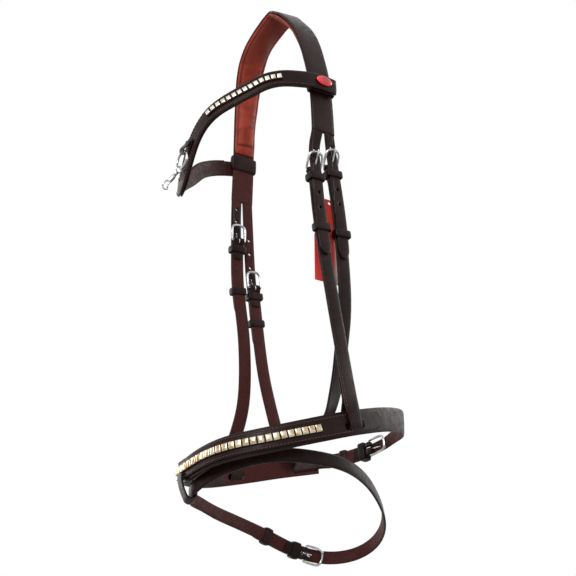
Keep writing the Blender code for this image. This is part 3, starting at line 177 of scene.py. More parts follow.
def gentle(values: np.ndarray, low: float, high: float) -> np.ndarray:
    """Steps smoothly from 0 to 1 where values go from low to high."""
    share = np.clip((values - low) / (high - low), 0.0, 1.0)
    return share * share * (3 - 2 * share)


def curve_point(points: list[np.ndarray], span: int, share: float, closed: bool) -> np.ndarray:
    """Finds a point of the smooth curve between two of its points.

    Args:
        points: The curve's points.
        span: Which stretch between two points.
        share: How far along the stretch, from 0 to 1.
        closed: Whether the curve closes.

    Returns:
        The point.
    """
    count = len(points)
    corners = []
    for index in (span - 1, span, span + 1, span + 2):
        if closed:
            corners.append(points[index % count])
        elif index < 0:
            corners.append(2 * points[0] - points[1])
        elif index >= count:
            corners.append(2 * points[-1] - points[-2])
        else:
            corners.append(points[index])
    before, start, end, after = corners
    bend = 2 * before - 5 * start + 4 * end - after
    twist = 3 * start - before - 3 * end + after
    return 0.5 * (2 * start + (end - before) * share + bend * share**2 + twist * share**3)


class Line:
    """The middle line of a strap, with an outward side at each place.

    Each stretch between two given points has STEPS steps, and a frame's direction is taken over a TURN-th of the
    length each way. BATCH points at a time are looked up against PLACES frames. Easing fades out over the shares
    FADE of the way from the middle to the ends.
    """

    STEPS = 12
    TURN = 300
    PLACES = 700
    BATCH = 4000
    FADE = (0.36, 0.62)

    def __init__(self, points: list[np.ndarray], sides: list[np.ndarray], closed: bool = False) -> None:
        """Samples the line.

        Args:
            points: The points that it goes through.
            sides: The outward side at each point.
            closed: Whether it closes on itself.
        """
        sides = [unit(side) for side in sides]
        fine, fine_sides = [], []
        for span in range(len(points) if closed else len(points) - 1):
            after = sides[(span + 1) % len(sides)]
            for step in range(self.STEPS):
                share = step / self.STEPS
                fine.append(curve_point(points, span, share, closed))
                fine_sides.append(unit(sides[span] * (1 - share) + after * share))
        fine.append(points[0] if closed else points[-1])
        fine_sides.append(sides[0] if closed else sides[-1])
        self.points = np.array(fine)
        self.sides = np.array(fine_sides)
        self.closed = closed
        lengths = np.linalg.norm(np.diff(self.points, axis=0), axis=1)
        self.reached = np.concatenate([[0.0], np.cumsum(lengths)])
        self.length = float(self.reached[-1])
        self.tried = np.linspace(0.0, self.length, self.PLACES)
        frames = [self.frame(distance) for distance in self.tried]
        self.middles, self.alongs, self.acrosses, self.outs = (
            np.array([frame[item] for frame in frames]) for item in range(4)
        )

    def point(self, distance: float) -> np.ndarray:
        """Finds the point at a distance along the line, straight on past an open end.

        Args:
            distance: The distance from the start.

        Returns:
            The point.
        """
        if self.closed:
            distance = distance % self.length
        inside = min(max(distance, 0.0), self.length)
        place = np.array([np.interp(inside, self.reached, self.points[:, axis]) for axis in range(3)])
        if distance < 0.0:
            place = place + unit(self.points[1] - self.points[0]) * distance
        if distance > self.length:
            place = place + unit(self.points[-1] - self.points[-2]) * (distance - self.length)
        return place

    def frame(self, distance: float) -> tuple[np.ndarray, np.ndarray, np.ndarray, np.ndarray]:
        """Finds the frame at a distance along the line.

        Args:
            distance: The distance from the start.

        Returns:
            The point, the direction of travel, the direction across, and the outward side.
        """
        reach = self.length / self.TURN
        along = unit(self.point(distance + reach) - self.point(distance - reach))
        inside = distance % self.length if self.closed else min(max(distance, 0.0), self.length)
        side = np.array([np.interp(inside, self.reached, self.sides[:, axis]) for axis in range(3)])
        side = unit(side - along * side.dot(along))
        return self.point(distance), along, np.cross(along, side), side

    def locate(self, points: np.ndarray) -> dict[str, np.ndarray]:
        """Finds where points lie in the frames of the line.

        Args:
            points: The points, one a row.

        Returns:
            For each point: its distance along, its place across, its depth outward, and the outward side.
        """
        nearest = np.empty(len(points), int)
        squares = (self.middles**2).sum(1)
        for start in range(0, len(points), self.BATCH):
            batch = slice(start, start + self.BATCH)
            nearest[batch] = np.argmin(squares - 2 * points[batch] @ self.middles.T, axis=1)
        gap = points - self.middles[nearest]
        return {
            "along": self.tried[nearest] + (gap * self.alongs[nearest]).sum(1),
            "across": (gap * self.acrosses[nearest]).sum(1),
            "depth": (gap * self.outs[nearest]).sum(1),
            "side": self.outs[nearest],
        }

    def away(self, along: np.ndarray) -> np.ndarray:
        """Gives how far places are from the middle of the line, as a share of the way to its ends."""
        return np.abs(2 * along / self.length - 1)

    def eased(self, points: np.ndarray, reach: float) -> np.ndarray:
        """Moves points as the middle stretch of the line moves when its turns are rounded off.

        Args:
            points: The points, one a row.
            reach: How far along the line each place is averaged.

        Returns:
            The moved points.
        """
        bell = np.exp(-0.5 * ((self.tried - self.length / 2) / reach) ** 2)
        bell /= bell.sum()
        found = self.locate(points)
        moved = np.zeros_like(points)
        for track, far in ((self.middles, 1.0), (self.acrosses, found["across"]), (self.outs, found["depth"])):
            for axis in range(3):
                shift = np.convolve(track[:, axis], bell, mode="same") - track[:, axis]
                moved[:, axis] += far * np.interp(found["along"], self.tried, shift)
        return points + moved * (1.0 - gentle(self.away(found["along"]), *self.FADE))[:, None]


def ring_sides(points: list[np.ndarray]) -> list[np.ndarray]:
    """Gives each point of a strap round the head its level outward side."""
    return [unit((point[0], point[1], 0.0)) for point in points]


def crown_line() -> Line:
    """Lays out the crown's line.

    Returns:
        The line, from the off leg over the poll to the near leg.
    """
    near = [placed(share) for share in CROWN_SHARES]
    points = [point * np.array((-1.0, 1.0, 1.0)) for point in near[:0:-1]] + near
    sides = []
    for point in points:
        lean = min(1.0, abs(point[0]) / SHOULDER)
        sides.append(np.array((math.copysign(lean, point[0] or 1.0), 0.0, 1.0 - lean**3)))
    return Line(points, sides)


def ring_line(shares: tuple[Share, ...]) -> Line:
    """Lays out the closed line of a strap round the nose, from its front along the near side."""
    points = [placed(share) for share in shares]
    return Line(points, ring_sides(points), closed=True)


def brow_line() -> Line:
    """Lays out the browband's line.

    Returns:
        The line, from the near end to the off end.
    """
    points = [placed(share) for share in BROW_SHARES]
    sides = ring_sides(points)
    sides[0], sides[-1] = np.array((1.0, 0.0, 0.0)), np.array((-1.0, 0.0, 0.0))
    return Line(points, sides)


def hanger_line(side: Side, nose: Line) -> Line:
    """Lays out a noseband hanger's line.

    Args:
        side: The side of the horse.
        nose: The noseband's line.

    Returns:
        The line, from the buckle's bar down to the noseband.
    """
    near = side is Side.NEAR
    shares = NEAR_HANGER_SHARES if near else OFF_HANGER_SHARES
    found = nose.locate(np.array([placed(NEAR_SEAT_SHARE if near else OFF_SEAT_SHARE)]))
    seat, _, height, out = nose.frame(float(found["along"][0]))
    height = height if height[2] > 0 else -height
    points = [placed(share, side.value) for share in shares]
    points += [seat + out * SEAT_OUT + height * FOLD_UP, seat + out * SEAT_OUT]
    return Line(points, [np.array((side.value, 0.0, 0.0))] * (len(points) - 1) + [out])


def cheek_line(side: Side) -> Line:
    """Lays out a cheekpiece's line.

    Args:
        side: The side of the horse.

    Returns:
        The line, from the buckle's bar down to the bit end.
    """
    near = side is Side.NEAR
    points = [placed(share, side.value) for share in (NEAR_CHEEK_SHARES if near else OFF_CHEEK_SHARES)]
    sides = [np.array((float(side.value), 0.0, 0.0))] * len(points)
    if near:
        sides[-len(NEAR_CHEEK_TURN) :] = [np.array(way) for way in NEAR_CHEEK_TURN]
    return Line(points, sides)


class NodeWork:
    """A material's nodes, added and linked one after another."""

    def __init__(self, name: str) -> None:
        """Starts a material.

        Args:
            name: The material's name.
        """
        self.material = bpy.data.materials.new(name)
        self.material.use_nodes = True
        self.tree = self.material.node_tree
        self.shader = self.tree.nodes["Principled BSDF"]
        self.place = self.add("ShaderNodeTexCoord").outputs["Object"]

    def add(self, kind: str, inputs: dict | None = None, **settings: object) -> bpy.types.Node:
        """Adds a node.

        Args:
            kind: The node's type.
            inputs: Values or sockets for its inputs.
            settings: Its own settings.

        Returns:
            The node.
        """
        node = self.tree.nodes.new(kind)
        for key, value in settings.items():
            setattr(node, key, value)
        for key, value in (inputs or {}).items():
            self.feed(node.inputs[key], value)
        return node

    def feed(self, socket: Socket, value: Socket | float | tuple) -> None:
        """Links or sets an input.

        Args:
            socket: The input.
            value: A value or what it is linked to.
        """
        if isinstance(value, Socket):
            self.tree.links.new(value, socket)
        else:
            socket.default_value = value

    def noise(self, scale: float, detail: float = 3.0, rough: float = 0.5) -> Socket:
        """Adds a noise of so many waves in a metre, with finer layers of a strength."""
        inputs = {"Vector": self.place, "Scale": scale, "Detail": detail, "Roughness": rough}
        return self.add("ShaderNodeTexNoise", inputs).outputs[0]

    def cells(self, scale: float) -> Socket:
        """Adds so many cells in a metre, as the pores of a hide."""
        return self.add("ShaderNodeTexVoronoi", {"Vector": self.place, "Scale": scale}).outputs[0]

    def span(
        self, value: Socket, low: float, high: float, to_low: float = 0.0, to_high: float = 1.0
    ) -> Socket:
        """Maps a value's range from low to high onto another, smoothly and clamped."""
        inputs = {"Value": value, 1: low, 2: high, 3: to_low, 4: to_high}
        return self.add("ShaderNodeMapRange", inputs, interpolation_type="SMOOTHSTEP").outputs[0]

    def maths(self, operation: str, first: Socket | float, second: Socket | float = 0.0) -> Socket:
        """Adds a sum or the like of two values."""
        return self.add("ShaderNodeMath", {0: first, 1: second}, operation=operation).outputs[0]

    def attribute(self, name: str) -> Socket:
        """Reads one of the piece's own attributes."""
        return self.add("ShaderNodeAttribute", attribute_name=name).outputs["Fac"]

    def mix(self, share: Socket | float, first: Socket | Colour, second: Socket | Colour) -> Socket:
        """Mixes two colours.

        Args:
            share: How much of the second.
            first: The first colour.
            second: The second colour.

        Returns:
            The mixed colour.
        """
        values = [item if isinstance(item, Socket) else (*item, 1.0) for item in (first, second)]
        inputs = {0: share, 6: values[0], 7: values[1]}
        return self.add("ShaderNodeMix", inputs, data_type="RGBA").outputs[2]

    def bump(self, height: Socket, distance: float, strength: float = 1.0) -> None:
        """Lays a relief on the surface, over any laid before.

        Args:
            height: The relief.
            distance: Its depth in metres.
            strength: Its strength.
        """
        inputs = {"Height": height, "Distance": distance, "Strength": strength}
        linked = self.shader.inputs["Normal"].links
        if linked:
            inputs["Normal"] = linked[0].from_socket
        made = self.add("ShaderNodeBump", inputs)
        self.tree.links.new(made.outputs[0], self.shader.inputs["Normal"])

    def wear(self, socket: str, value: Socket | float) -> None:
        """Gives the shader one of its values."""
        self.feed(self.shader.inputs[socket], value)


@dataclass(frozen=True)
class LeatherFinish:
    """Bridle leather: waxed grain outside, plain flesh inside, darker burnished edges."""

    name: str
    outside: Colour
    worn: Colour
    inside: Colour
    gloss: tuple[float, float] = (0.30, 0.46)
    pores: float = 1500.0
    depth: float = 0.00010
    crease: float = 0.0

    def material(self) -> bpy.types.Material:
        """Builds the leather.

        Returns:
            The material.
        """
        work = NodeWork(self.name)
        flesh = work.attribute("flesh")
        edge = work.attribute("edge")
        cloudy = work.noise(42.0, 4.0, 0.6)
        fine = work.noise(520.0, 3.0)
        outside = work.mix(work.span(cloudy, 0.42, 0.68), self.outside, self.worn)
        dark = tuple(part * 0.45 for part in self.outside)
        outside = work.mix(work.maths("MULTIPLY", edge, 0.7), outside, dark)
        pale = tuple(min(part * 1.35, 1.0) for part in self.inside)
        inside = work.mix(work.span(fine, 0.35, 0.65), self.inside, pale)
        work.wear("Base Color", work.mix(flesh, outside, inside))
        rough = work.span(work.noise(160.0, 3.0), 0.35, 0.65, *self.gloss)
        inside_rough = work.maths("MULTIPLY", flesh, 0.22)
        work.wear("Roughness", work.maths("ADD", rough, inside_rough))
        work.wear("Specular IOR Level", 0.13)
        pores = work.cells(self.pores)
        wrinkle = work.noise(950.0, 4.0, 0.65)
        grain = work.maths("ADD", work.maths("MULTIPLY", pores, 0.55), work.maths("MULTIPLY", wrinkle, 0.75))
        work.bump(grain, self.depth, 0.85)
        work.bump(cloudy, 0.0006, 0.35)
        if self.crease:
            across = work.maths("ABSOLUTE", work.attribute("across"))
            away = work.maths("ABSOLUTE", work.maths("SUBTRACT", across, self.crease))
            groove = work.span(away, 0.0, 0.045)
            work.bump(groove, 0.00035, 1.0)
        return work.material


@dataclass(frozen=True)
class LiningFinish:
    """Soft lining leather, drawn over padding, with shade painted into its colour inside the crown's arch and in
    its seam grooves.
    """

    name: str
    colour: Colour
    deep: Colour
    pores: float = 1300.0

    def material(self) -> bpy.types.Material:
        """Builds the lining.

        Returns:
            The material.
        """
        work = NodeWork(self.name)
        cloudy = work.noise(60.0, 4.0, 0.6)
        seam = work.attribute("seam")
        colour = work.mix(work.span(cloudy, 0.36, 0.66), self.colour, self.deep)
        # Painted shade: the lining darkens towards the middle of the crown's arch and between its seams, where
        # shade falls inside the arch.
        handled = tuple(part * 0.30 for part in self.colour)
        colour = work.mix(work.maths("MULTIPLY", work.attribute("handled"), 0.85), colour, handled)
        # Painted shade: the colour goes much darker in the seam grooves, where the pad is drawn in.
        groove = tuple(part * 0.35 for part in self.deep)
        work.wear("Base Color", work.mix(seam, colour, groove))
        work.wear("Roughness", work.span(work.noise(210.0, 3.0), 0.35, 0.65, 0.46, 0.62))
        work.wear("Specular IOR Level", 0.16)
        work.bump(work.cells(self.pores), 0.00012, 0.8)
        work.bump(work.noise(240.0, 4.0, 0.6), 0.00035, 0.5)
        return work.material


@dataclass(frozen=True)
class MetalFinish:
    """Polished metal with faint rubbing marks, and darker cloudy patches that are partly tarnish and partly
    painted dark reflections.
    """

    name: str
    colour: Colour
    tint: Colour
    gloss: tuple[float, float] = (0.12, 0.24)

    def material(self) -> bpy.types.Material:
        """Builds the metal.

        Returns:
            The material.
        """
        work = NodeWork(self.name)
        cloudy = work.noise(150.0, 4.0, 0.6)
        # Darker cloudy patches in the base colour: partly tarnish, partly painted dark reflections.
        work.wear("Base Color", work.mix(work.span(cloudy, 0.35, 0.70), self.colour, self.tint))
        work.wear("Metallic", 1.0)
        work.wear("Roughness", work.span(work.noise(700.0, 3.0), 0.3, 0.7, *self.gloss))
        work.bump(work.noise(420.0, 3.0), 0.00008, 0.35)
        return work.material


@dataclass(frozen=True)
class EnamelFinish:
    """Gloss enamel, darker in the middle of the badge."""

    name: str
    colour: Colour
    deep: Colour

    def material(self) -> bpy.types.Material:
        """Builds the enamel.

        Returns:
            The material.
        """
        work = NodeWork(self.name)
        middle = work.attribute("middle")
        cloudy = work.noise(900.0, 2.0)
        deep = work.maths("MULTIPLY", middle, work.span(cloudy, 0.2, 0.8, 0.8, 1.0))
        work.wear("Base Color", work.mix(deep, self.colour, self.deep))
        work.wear("Roughness", 0.22)
        work.wear("Coat Weight", 0.6)
        work.wear("Coat Roughness", 0.08)
        work.bump(work.noise(500.0, 2.0), 0.00005, 0.4)
        return work.material


@dataclass(frozen=True)
class CardFinish:
    """Coated card with a pale line along one edge and a pale cut edge."""

    name: str
    colour: Colour
    pale: Colour

    def material(self) -> bpy.types.Material:
        """Builds the card.

        Returns:
            The material.
        """
        work = NodeWork(self.name)
        line = work.attribute("line")
        fibres = work.noise(1800.0, 4.0, 0.7)
        deep = tuple(part * 0.82 for part in self.colour)
        red = work.mix(work.span(fibres, 0.3, 0.7), self.colour, deep)
        work.wear("Base Color", work.mix(line, red, self.pale))
        work.wear("Roughness", work.span(work.noise(90.0), 0.3, 0.7, 0.42, 0.56))
        work.bump(fibres, 0.00005, 0.6)
        return work.material


@dataclass(frozen=True)
class ThreadFinish:
    """Waxed linen thread."""

    name: str
    colour: Colour
    deep: Colour

    def material(self) -> bpy.types.Material:
        """Builds the thread.

        Returns:
            The material.
        """
        work = NodeWork(self.name)
        ply = work.noise(2600.0, 2.0)
        work.wear("Base Color", work.mix(work.span(ply, 0.35, 0.65), self.colour, self.deep))
        work.wear("Roughness", 0.62)
        work.bump(ply, 0.00010, 0.8)
        return work.material


class Finishes:
    """Every finish of the bridle, made once."""

    def __init__(self) -> None:
        """Makes the materials."""
        hide = ((0.0115, 0.0043, 0.0038), (0.0200, 0.0082, 0.0072), (0.0430, 0.0105, 0.0092))
        self.leather = LeatherFinish("bridle_leather", *hide).material()
        self.creased = LeatherFinish("creased_leather", *hide, crease=0.80).material()
        padding = ((0.0400, 0.0120, 0.0110), (0.0200, 0.0075, 0.0070))
        self.flesh = LiningFinish("padding_leather", *padding).material()
        self.lining = LiningFinish("tan_lining", (0.330, 0.045, 0.023), (0.190, 0.024, 0.013)).material()
        # Each metal's second colour makes its darker patches: partly tarnish, partly painted dark reflections.
        self.steel = MetalFinish("polished_steel", (0.60, 0.60, 0.62), (0.30, 0.29, 0.29)).material()
        plate = ((0.74, 0.66, 0.50), (0.42, 0.27, 0.13), (0.10, 0.26))
        self.silver = MetalFinish("clincher_plate", *plate).material()
        pale_plate = ((0.88, 0.84, 0.74), (0.62, 0.52, 0.38), (0.14, 0.30))
        self.cream = MetalFinish("pale_clincher_plate", *pale_plate).material()
        self.enamel = EnamelFinish("red_enamel", (0.82, 0.018, 0.022), (0.36, 0.008, 0.012)).material()
        self.card = CardFinish("red_card", (0.74, 0.050, 0.036), (0.90, 0.88, 0.84)).material()
        self.dark_thread = ThreadFinish("dark_thread", (0.150, 0.050, 0.036), (0.070, 0.024, 0.018)).material()
        self.tan_thread = ThreadFinish("tan_thread", (0.300, 0.060, 0.032), (0.160, 0.028, 0.016)).material()


class Bench:
    """The work bench: how pieces are copied, shaped, dressed and put on their bodies."""

    def __init__(self, frame: dict) -> None:
        """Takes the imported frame.
        """
        self.nodes = frame["nodes"]
        self.body_of = {}
        for body, members in frame["record"]["behaviour"]["bodies"].items():
            self.body_of.update({member: body for member in members})

    @staticmethod
    def pick(piece: bpy.types.Object) -> None:
        """Deselects everything and picks one piece.

        Args:
            piece: The piece.
        """
        bpy.ops.object.select_all(action="DESELECT")
        piece.select_set(True)
        bpy.context.view_layer.objects.active = piece

    @contextmanager
    def editing(self, piece: bpy.types.Object) -> Iterator[None]:
        """Opens a piece for edits, all of it selected, and closes it again.

        Args:
            piece: The piece.

        Yields:
            Nothing, while the piece is open.
        """
        self.pick(piece)
        bpy.ops.object.mode_set(mode="EDIT")
        bpy.ops.mesh.select_all(action="SELECT")
        yield
        bpy.ops.object.mode_set(mode="OBJECT")

    @staticmethod
    def block(name: str, size: Share, lift: float = 0.0) -> bpy.types.Object:
        """Starts a piece as a block over the origin.

        Args:
            name: The piece's name.
            size: Its length, width and height.
            lift: How high its middle is.

        Returns:
            The block.
        """
        bpy.ops.object.select_all(action="DESELECT")
        bpy.ops.mesh.primitive_cube_add(size=1.0, scale=size, location=(0.0, 0.0, lift))
        piece = bpy.context.active_object
        piece.name = name
        bpy.ops.object.transform_apply(location=True, rotation=True, scale=True)
        return piece

    def section(self, piece: bpy.types.Object, places: list[float]) -> None:
        """Cuts a piece's faces across, so that it can bend there.

        Args:
            piece: The piece.
            places: The cuts' places along X.
        """
        with self.editing(piece):
            for place in places:
                bpy.ops.mesh.select_all(action="SELECT")
                bpy.ops.mesh.bisect(plane_co=(place, 0.0, 0.0), plane_no=(1.0, 0.0, 0.0))

    @staticmethod
    def add_shape(name: str, mesh: bpy.types.Mesh) -> bpy.types.Object:
        """Links a mesh as a piece.

        Args:
            name: The piece's name.
            mesh: Its mesh.

        Returns:
            The piece.
        """
        piece = bpy.data.objects.new(name, mesh)
        bpy.context.scene.collection.objects.link(piece)
        return piece

    def copy_node(self, node: str, name: str) -> bpy.types.Object:
        """Copies a CAD node's mesh into a new piece and merges its loose triangles.

        Args:
            node: The node.
            name: The new piece's name.

        Returns:
            The piece.
        """
        piece = self.add_shape(name, self.nodes[node].data.copy())
        piece.data.name = name
        piece.data.materials.clear()
        with self.editing(piece):
            bpy.ops.mesh.remove_doubles(threshold=0.00002)
            bpy.ops.mesh.normals_make_consistent(inside=False)
        return piece

    def soften(self, piece: bpy.types.Object, sharp: float, fatten: float = 0.0, quads: float = 40.0) -> None:
        """Turns a faceted copy into a smooth form.

        Args:
            piece: The copy.
            sharp: Edges sharper than this many degrees stay crisp.
            fatten: How far its skin moves out first, which makes up for the rounding.
            quads: Triangles that bend less than this many degrees are joined in pairs.
        """
        with self.editing(piece):
            bend, skew = math.radians(quads), math.radians(70.0)
            bpy.ops.mesh.tris_convert_to_quads(face_threshold=bend, shape_threshold=skew)
            if fatten:
                bpy.ops.transform.shrink_fatten(value=fatten)
            bpy.ops.mesh.select_all(action="DESELECT")
            bpy.ops.mesh.select_mode(type="EDGE")
            bpy.ops.mesh.edges_select_sharp(sharpness=math.radians(sharp))
            bpy.ops.transform.edge_crease(value=0.85)
        self.finish_with(piece, "SUBSURF", levels=2, render_levels=2)
        self.shade(piece, 50.0)

    def finish_with(self, piece: bpy.types.Object, kind: str, **settings: object) -> None:
        """Adds a modifier and applies it.

        Args:
            piece: The piece.
            kind: The modifier's type.
            settings: Its settings.
        """
        self.pick(piece)
        modifier = piece.modifiers.new(kind.lower(), kind)
        for key, value in settings.items():
            setattr(modifier, key, value)
        bpy.ops.object.modifier_apply(modifier=modifier.name)

    def shade(self, piece: bpy.types.Object, degrees: float) -> None:
        """Shades a piece smooth up to an angle."""
        self.pick(piece)
        bpy.ops.object.shade_smooth_by_angle(angle=math.radians(degrees))

    @staticmethod
    def points_of(piece: bpy.types.Object) -> np.ndarray:
        """Reads a piece's points, one a row.

        Args:
            piece: The piece.

        Returns:
            The points.
        """
        flat = np.empty(3 * len(piece.data.vertices))
        piece.data.vertices.foreach_get("co", flat)
        return flat.reshape(-1, 3)

    @staticmethod
    def move_points(piece: bpy.types.Object, points: np.ndarray) -> None:
        """Moves a piece's points to new places, one a row."""
        piece.data.vertices.foreach_set("co", points.ravel())
        piece.data.update()

    def ease(self, piece: bpy.types.Object, line: Line) -> None:
        """Moves a piece with its line when the turns in the middle of the line are rounded off."""
        self.move_points(piece, line.eased(self.points_of(piece), ARCH_REACH))

    @staticmethod
    def normals_of(piece: bpy.types.Object) -> np.ndarray:
        """Reads the directions that a piece's points face.

        Args:
            piece: The piece.

        Returns:
            The directions, one a row.
        """
        flat = np.empty(3 * len(piece.data.vertices), np.float32)
        piece.data.vertex_normals.foreach_get("vector", flat)
        return flat.reshape(-1, 3)

    @staticmethod
    def note(piece: bpy.types.Object, name: str, values: np.ndarray) -> None:
        """Keeps a named value for each of a piece's points, which its finish reads."""
        made = piece.data.attributes.new(name, "FLOAT", "POINT")
        made.data.foreach_set("value", np.asarray(values, np.float32))

    def dress(
        self, piece: bpy.types.Object, look: bpy.types.Material, slot: Slot, body: str, *nodes: str
    ) -> bpy.types.Object:
        """Gives a piece its finish and body, hides the CAD nodes that it replaces, and logs its face count.

        Args:
            piece: The piece.
            look: Its material.
            slot: The record's slot; not used.
            body: The body that it rides on.
            nodes: The CAD nodes that it replaces.

        Returns:
            The piece.
        """
        piece.data.materials.clear()
        piece.data.materials.append(look)
        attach(piece, body)
        if nodes:
            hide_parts(*nodes)
        LOG.info("%s: %d faces on %s", piece.name, len(piece.data.polygons), body)
        return piece

    def repeat(self, name: str, master: bpy.types.Object, places: list[Place]) -> bpy.types.Object:
        """Copies one modelled shape to many places as one piece, and takes the shape away.

        Args:
            name: The piece's name.
            master: The shape, modelled at the origin: +X along, +Y across, +Z out.
            places: Where the copies go.

        Returns:
            The piece.
        """
        shape = self.points_of(master)
        faces = [tuple(face.vertices) for face in master.data.polygons]
        points, polygons = [], []
        for index, (point, along, side) in enumerate(places):
            turn = np.array((along, np.cross(side, along), side))
            points.append(point + shape @ turn)
            first = index * len(shape)
            polygons += [tuple(first + corner for corner in face) for face in faces]
        mesh = bpy.data.meshes.new(name)
        mesh.from_pydata(np.concatenate(points).tolist(), [], polygons)
        mesh.update()
        piece = self.add_shape(name, mesh)
        self.shade(piece, 50.0)
        bpy.data.objects.remove(master, do_unlink=True)
        return piece


@dataclass
class StrapWork:
    """The leather straps, with rounded edges, and their grain and flesh sides told apart."""

    bench: Bench
    looks: Finishes
    lines: dict[str, Line]
    thick: float = 0.0030
    settle: float = 0.0026
    fold_reach: float = 0.020
    fold_edge: tuple[float, float] = (-0.0030, 0.0020)

    def mark(self, piece: bpy.types.Object, line: Line, half: float) -> None:
        """Notes for each point which side of the leather it is on.

        Args:
            piece: The strap.
            line: Its middle line.
            half: Half its width.
        """
        points = self.bench.points_of(piece)
        normals = self.bench.normals_of(piece)
        found = line.locate(points)
        facing = (normals * found["side"]).sum(1)
        own_skin = found["depth"] > -self.thick * 0.95
        self.bench.note(piece, "flesh", gentle(-facing, 0.25, 0.7) * own_skin)
        self.bench.note(piece, "edge", gentle(1.0 - np.abs(facing), 0.35, 0.8))
        self.bench.note(piece, "across", np.clip(found["across"] / half, -1.4, 1.4))

    def strap(self, node: str, line: Line, half: float, look: bpy.types.Material) -> bpy.types.Object:
        """Makes one strap.

        Args:
            node: The CAD node.
            line: Its middle line.
            half: Half its width.
            look: Its material.

        Returns:
            The strap.
        """
        piece = self.bench.copy_node(node, "soft_" + node)
        self.bench.soften(piece, sharp=62.0)
        self.mark(piece, line, half)
        return self.bench.dress(piece, look, Slot.LEATHER, self.bench.body_of[node], node)

    def settle_fold(self, piece: bpy.types.Object, line: Line) -> None:
        """Lets a hanger's fold settle on the lower edge of the noseband's slot, as its load pulls it.

        Args:
            piece: The hanger.
            line: Its line, which ends at the fold.
        """
        points = self.bench.points_of(piece)
        end, down, _, _ = line.frame(line.length)
        below = (points - end) @ down
        near = np.linalg.norm(points - end, axis=1) < self.fold_reach
        drop = self.settle * gentle(below, *self.fold_edge) * near
        self.bench.move_points(piece, points + down * drop[:, None])

    def keeper(self, node: str) -> None:
        """Makes one keeper or browband loop.

        Args:
            node: The CAD node.
        """
        piece = self.bench.copy_node(node, "soft_" + node)
        self.bench.soften(piece, sharp=70.0)
        points = self.bench.points_of(piece)
        middle = (points.min(0) + points.max(0)) / 2
        away = np.linalg.norm(points - middle, axis=1)
        self.bench.note(piece, "edge", gentle(away, away.max() * 0.8, away.max()))
        self.bench.dress(piece, self.looks.leather, Slot.LEATHER, self.bench.body_of[node], node)

    def build(self) -> None:
        """Makes every strap, keeper and loop."""
        looks, lines = self.looks, self.lines
        crown = self.strap("crown_leather", lines["crown"], half=0.0150, look=looks.creased)
        self.bench.ease(crown, lines["crown"])
        for node, line, half, look in (
            ("noseband_band", "nose", 0.0115, looks.leather),
            ("noseband_raised", "nose", 0.00925, looks.leather),
            ("chin_strap", "nose", 0.0075, looks.leather),
            ("flash_strap", "flash", 0.0065, looks.creased),
            ("flash_loop", "nose", 0.0065, looks.leather),
            ("browband_strap", "brow", 0.0095, looks.creased),
            ("browband_ring_tab", "brow", 0.0050, looks.leather),
        ):
            self.strap(node, lines[line], half, look)
        for side in Side:
            for kind in ("_hanger", "_cheek"):
                line = lines[side.label + kind]
                strap = self.strap(side.label + kind + "_strap", line, half=0.0075, look=looks.creased)
                if kind == "_hanger":
                    self.settle_fold(strap, line)
        for node in self.bench.nodes:
            if "keeper" in node or node.startswith("browband_loop"):
                self.keeper(node)
        self.lining()

    def lining(self) -> None:
        """Makes the browband's soft lining."""
        piece = self.bench.copy_node("browband_lining", "soft_browband_lining")
        self.bench.soften(piece, sharp=62.0)
        self.bench.dress(piece, self.looks.flesh, Slot.FLESH, "browband", "browband_lining")


@dataclass
class MetalWork:
    """Buckles, tongues, hook studs, ring, swivel, snap and bolt."""

    bench: Bench
    looks: Finishes
    wire: float = 0.00016

    def build(self) -> None:
        """Makes every metal piece from its node."""
        for node in self.bench.nodes:
            if node.endswith(("_buckle", "_tongue")) or node == "browband_ring":
                self.piece(node, sharp=80.0, fatten=self.wire)
            elif node.endswith("_hook_stud") or node == "snap_bolt":
                self.piece(node, sharp=35.0, fatten=0.0)
            elif node in ("snap_swivel", "snap_body"):
                self.piece(node, sharp=62.0, fatten=self.wire * 0.5)

    def piece(self, node: str, sharp: float, fatten: float) -> None:
        """Makes one metal piece.

        Args:
            node: The CAD node.
            sharp: Edges sharper than this stay crisp.
            fatten: How far the skin moves out before it is rounded.
        """
        piece = self.bench.copy_node(node, "polished_" + node)
        self.bench.soften(piece, sharp, fatten)
        self.bench.dress(piece, self.looks.steel, Slot.STEEL, self.bench.body_of[node], node)


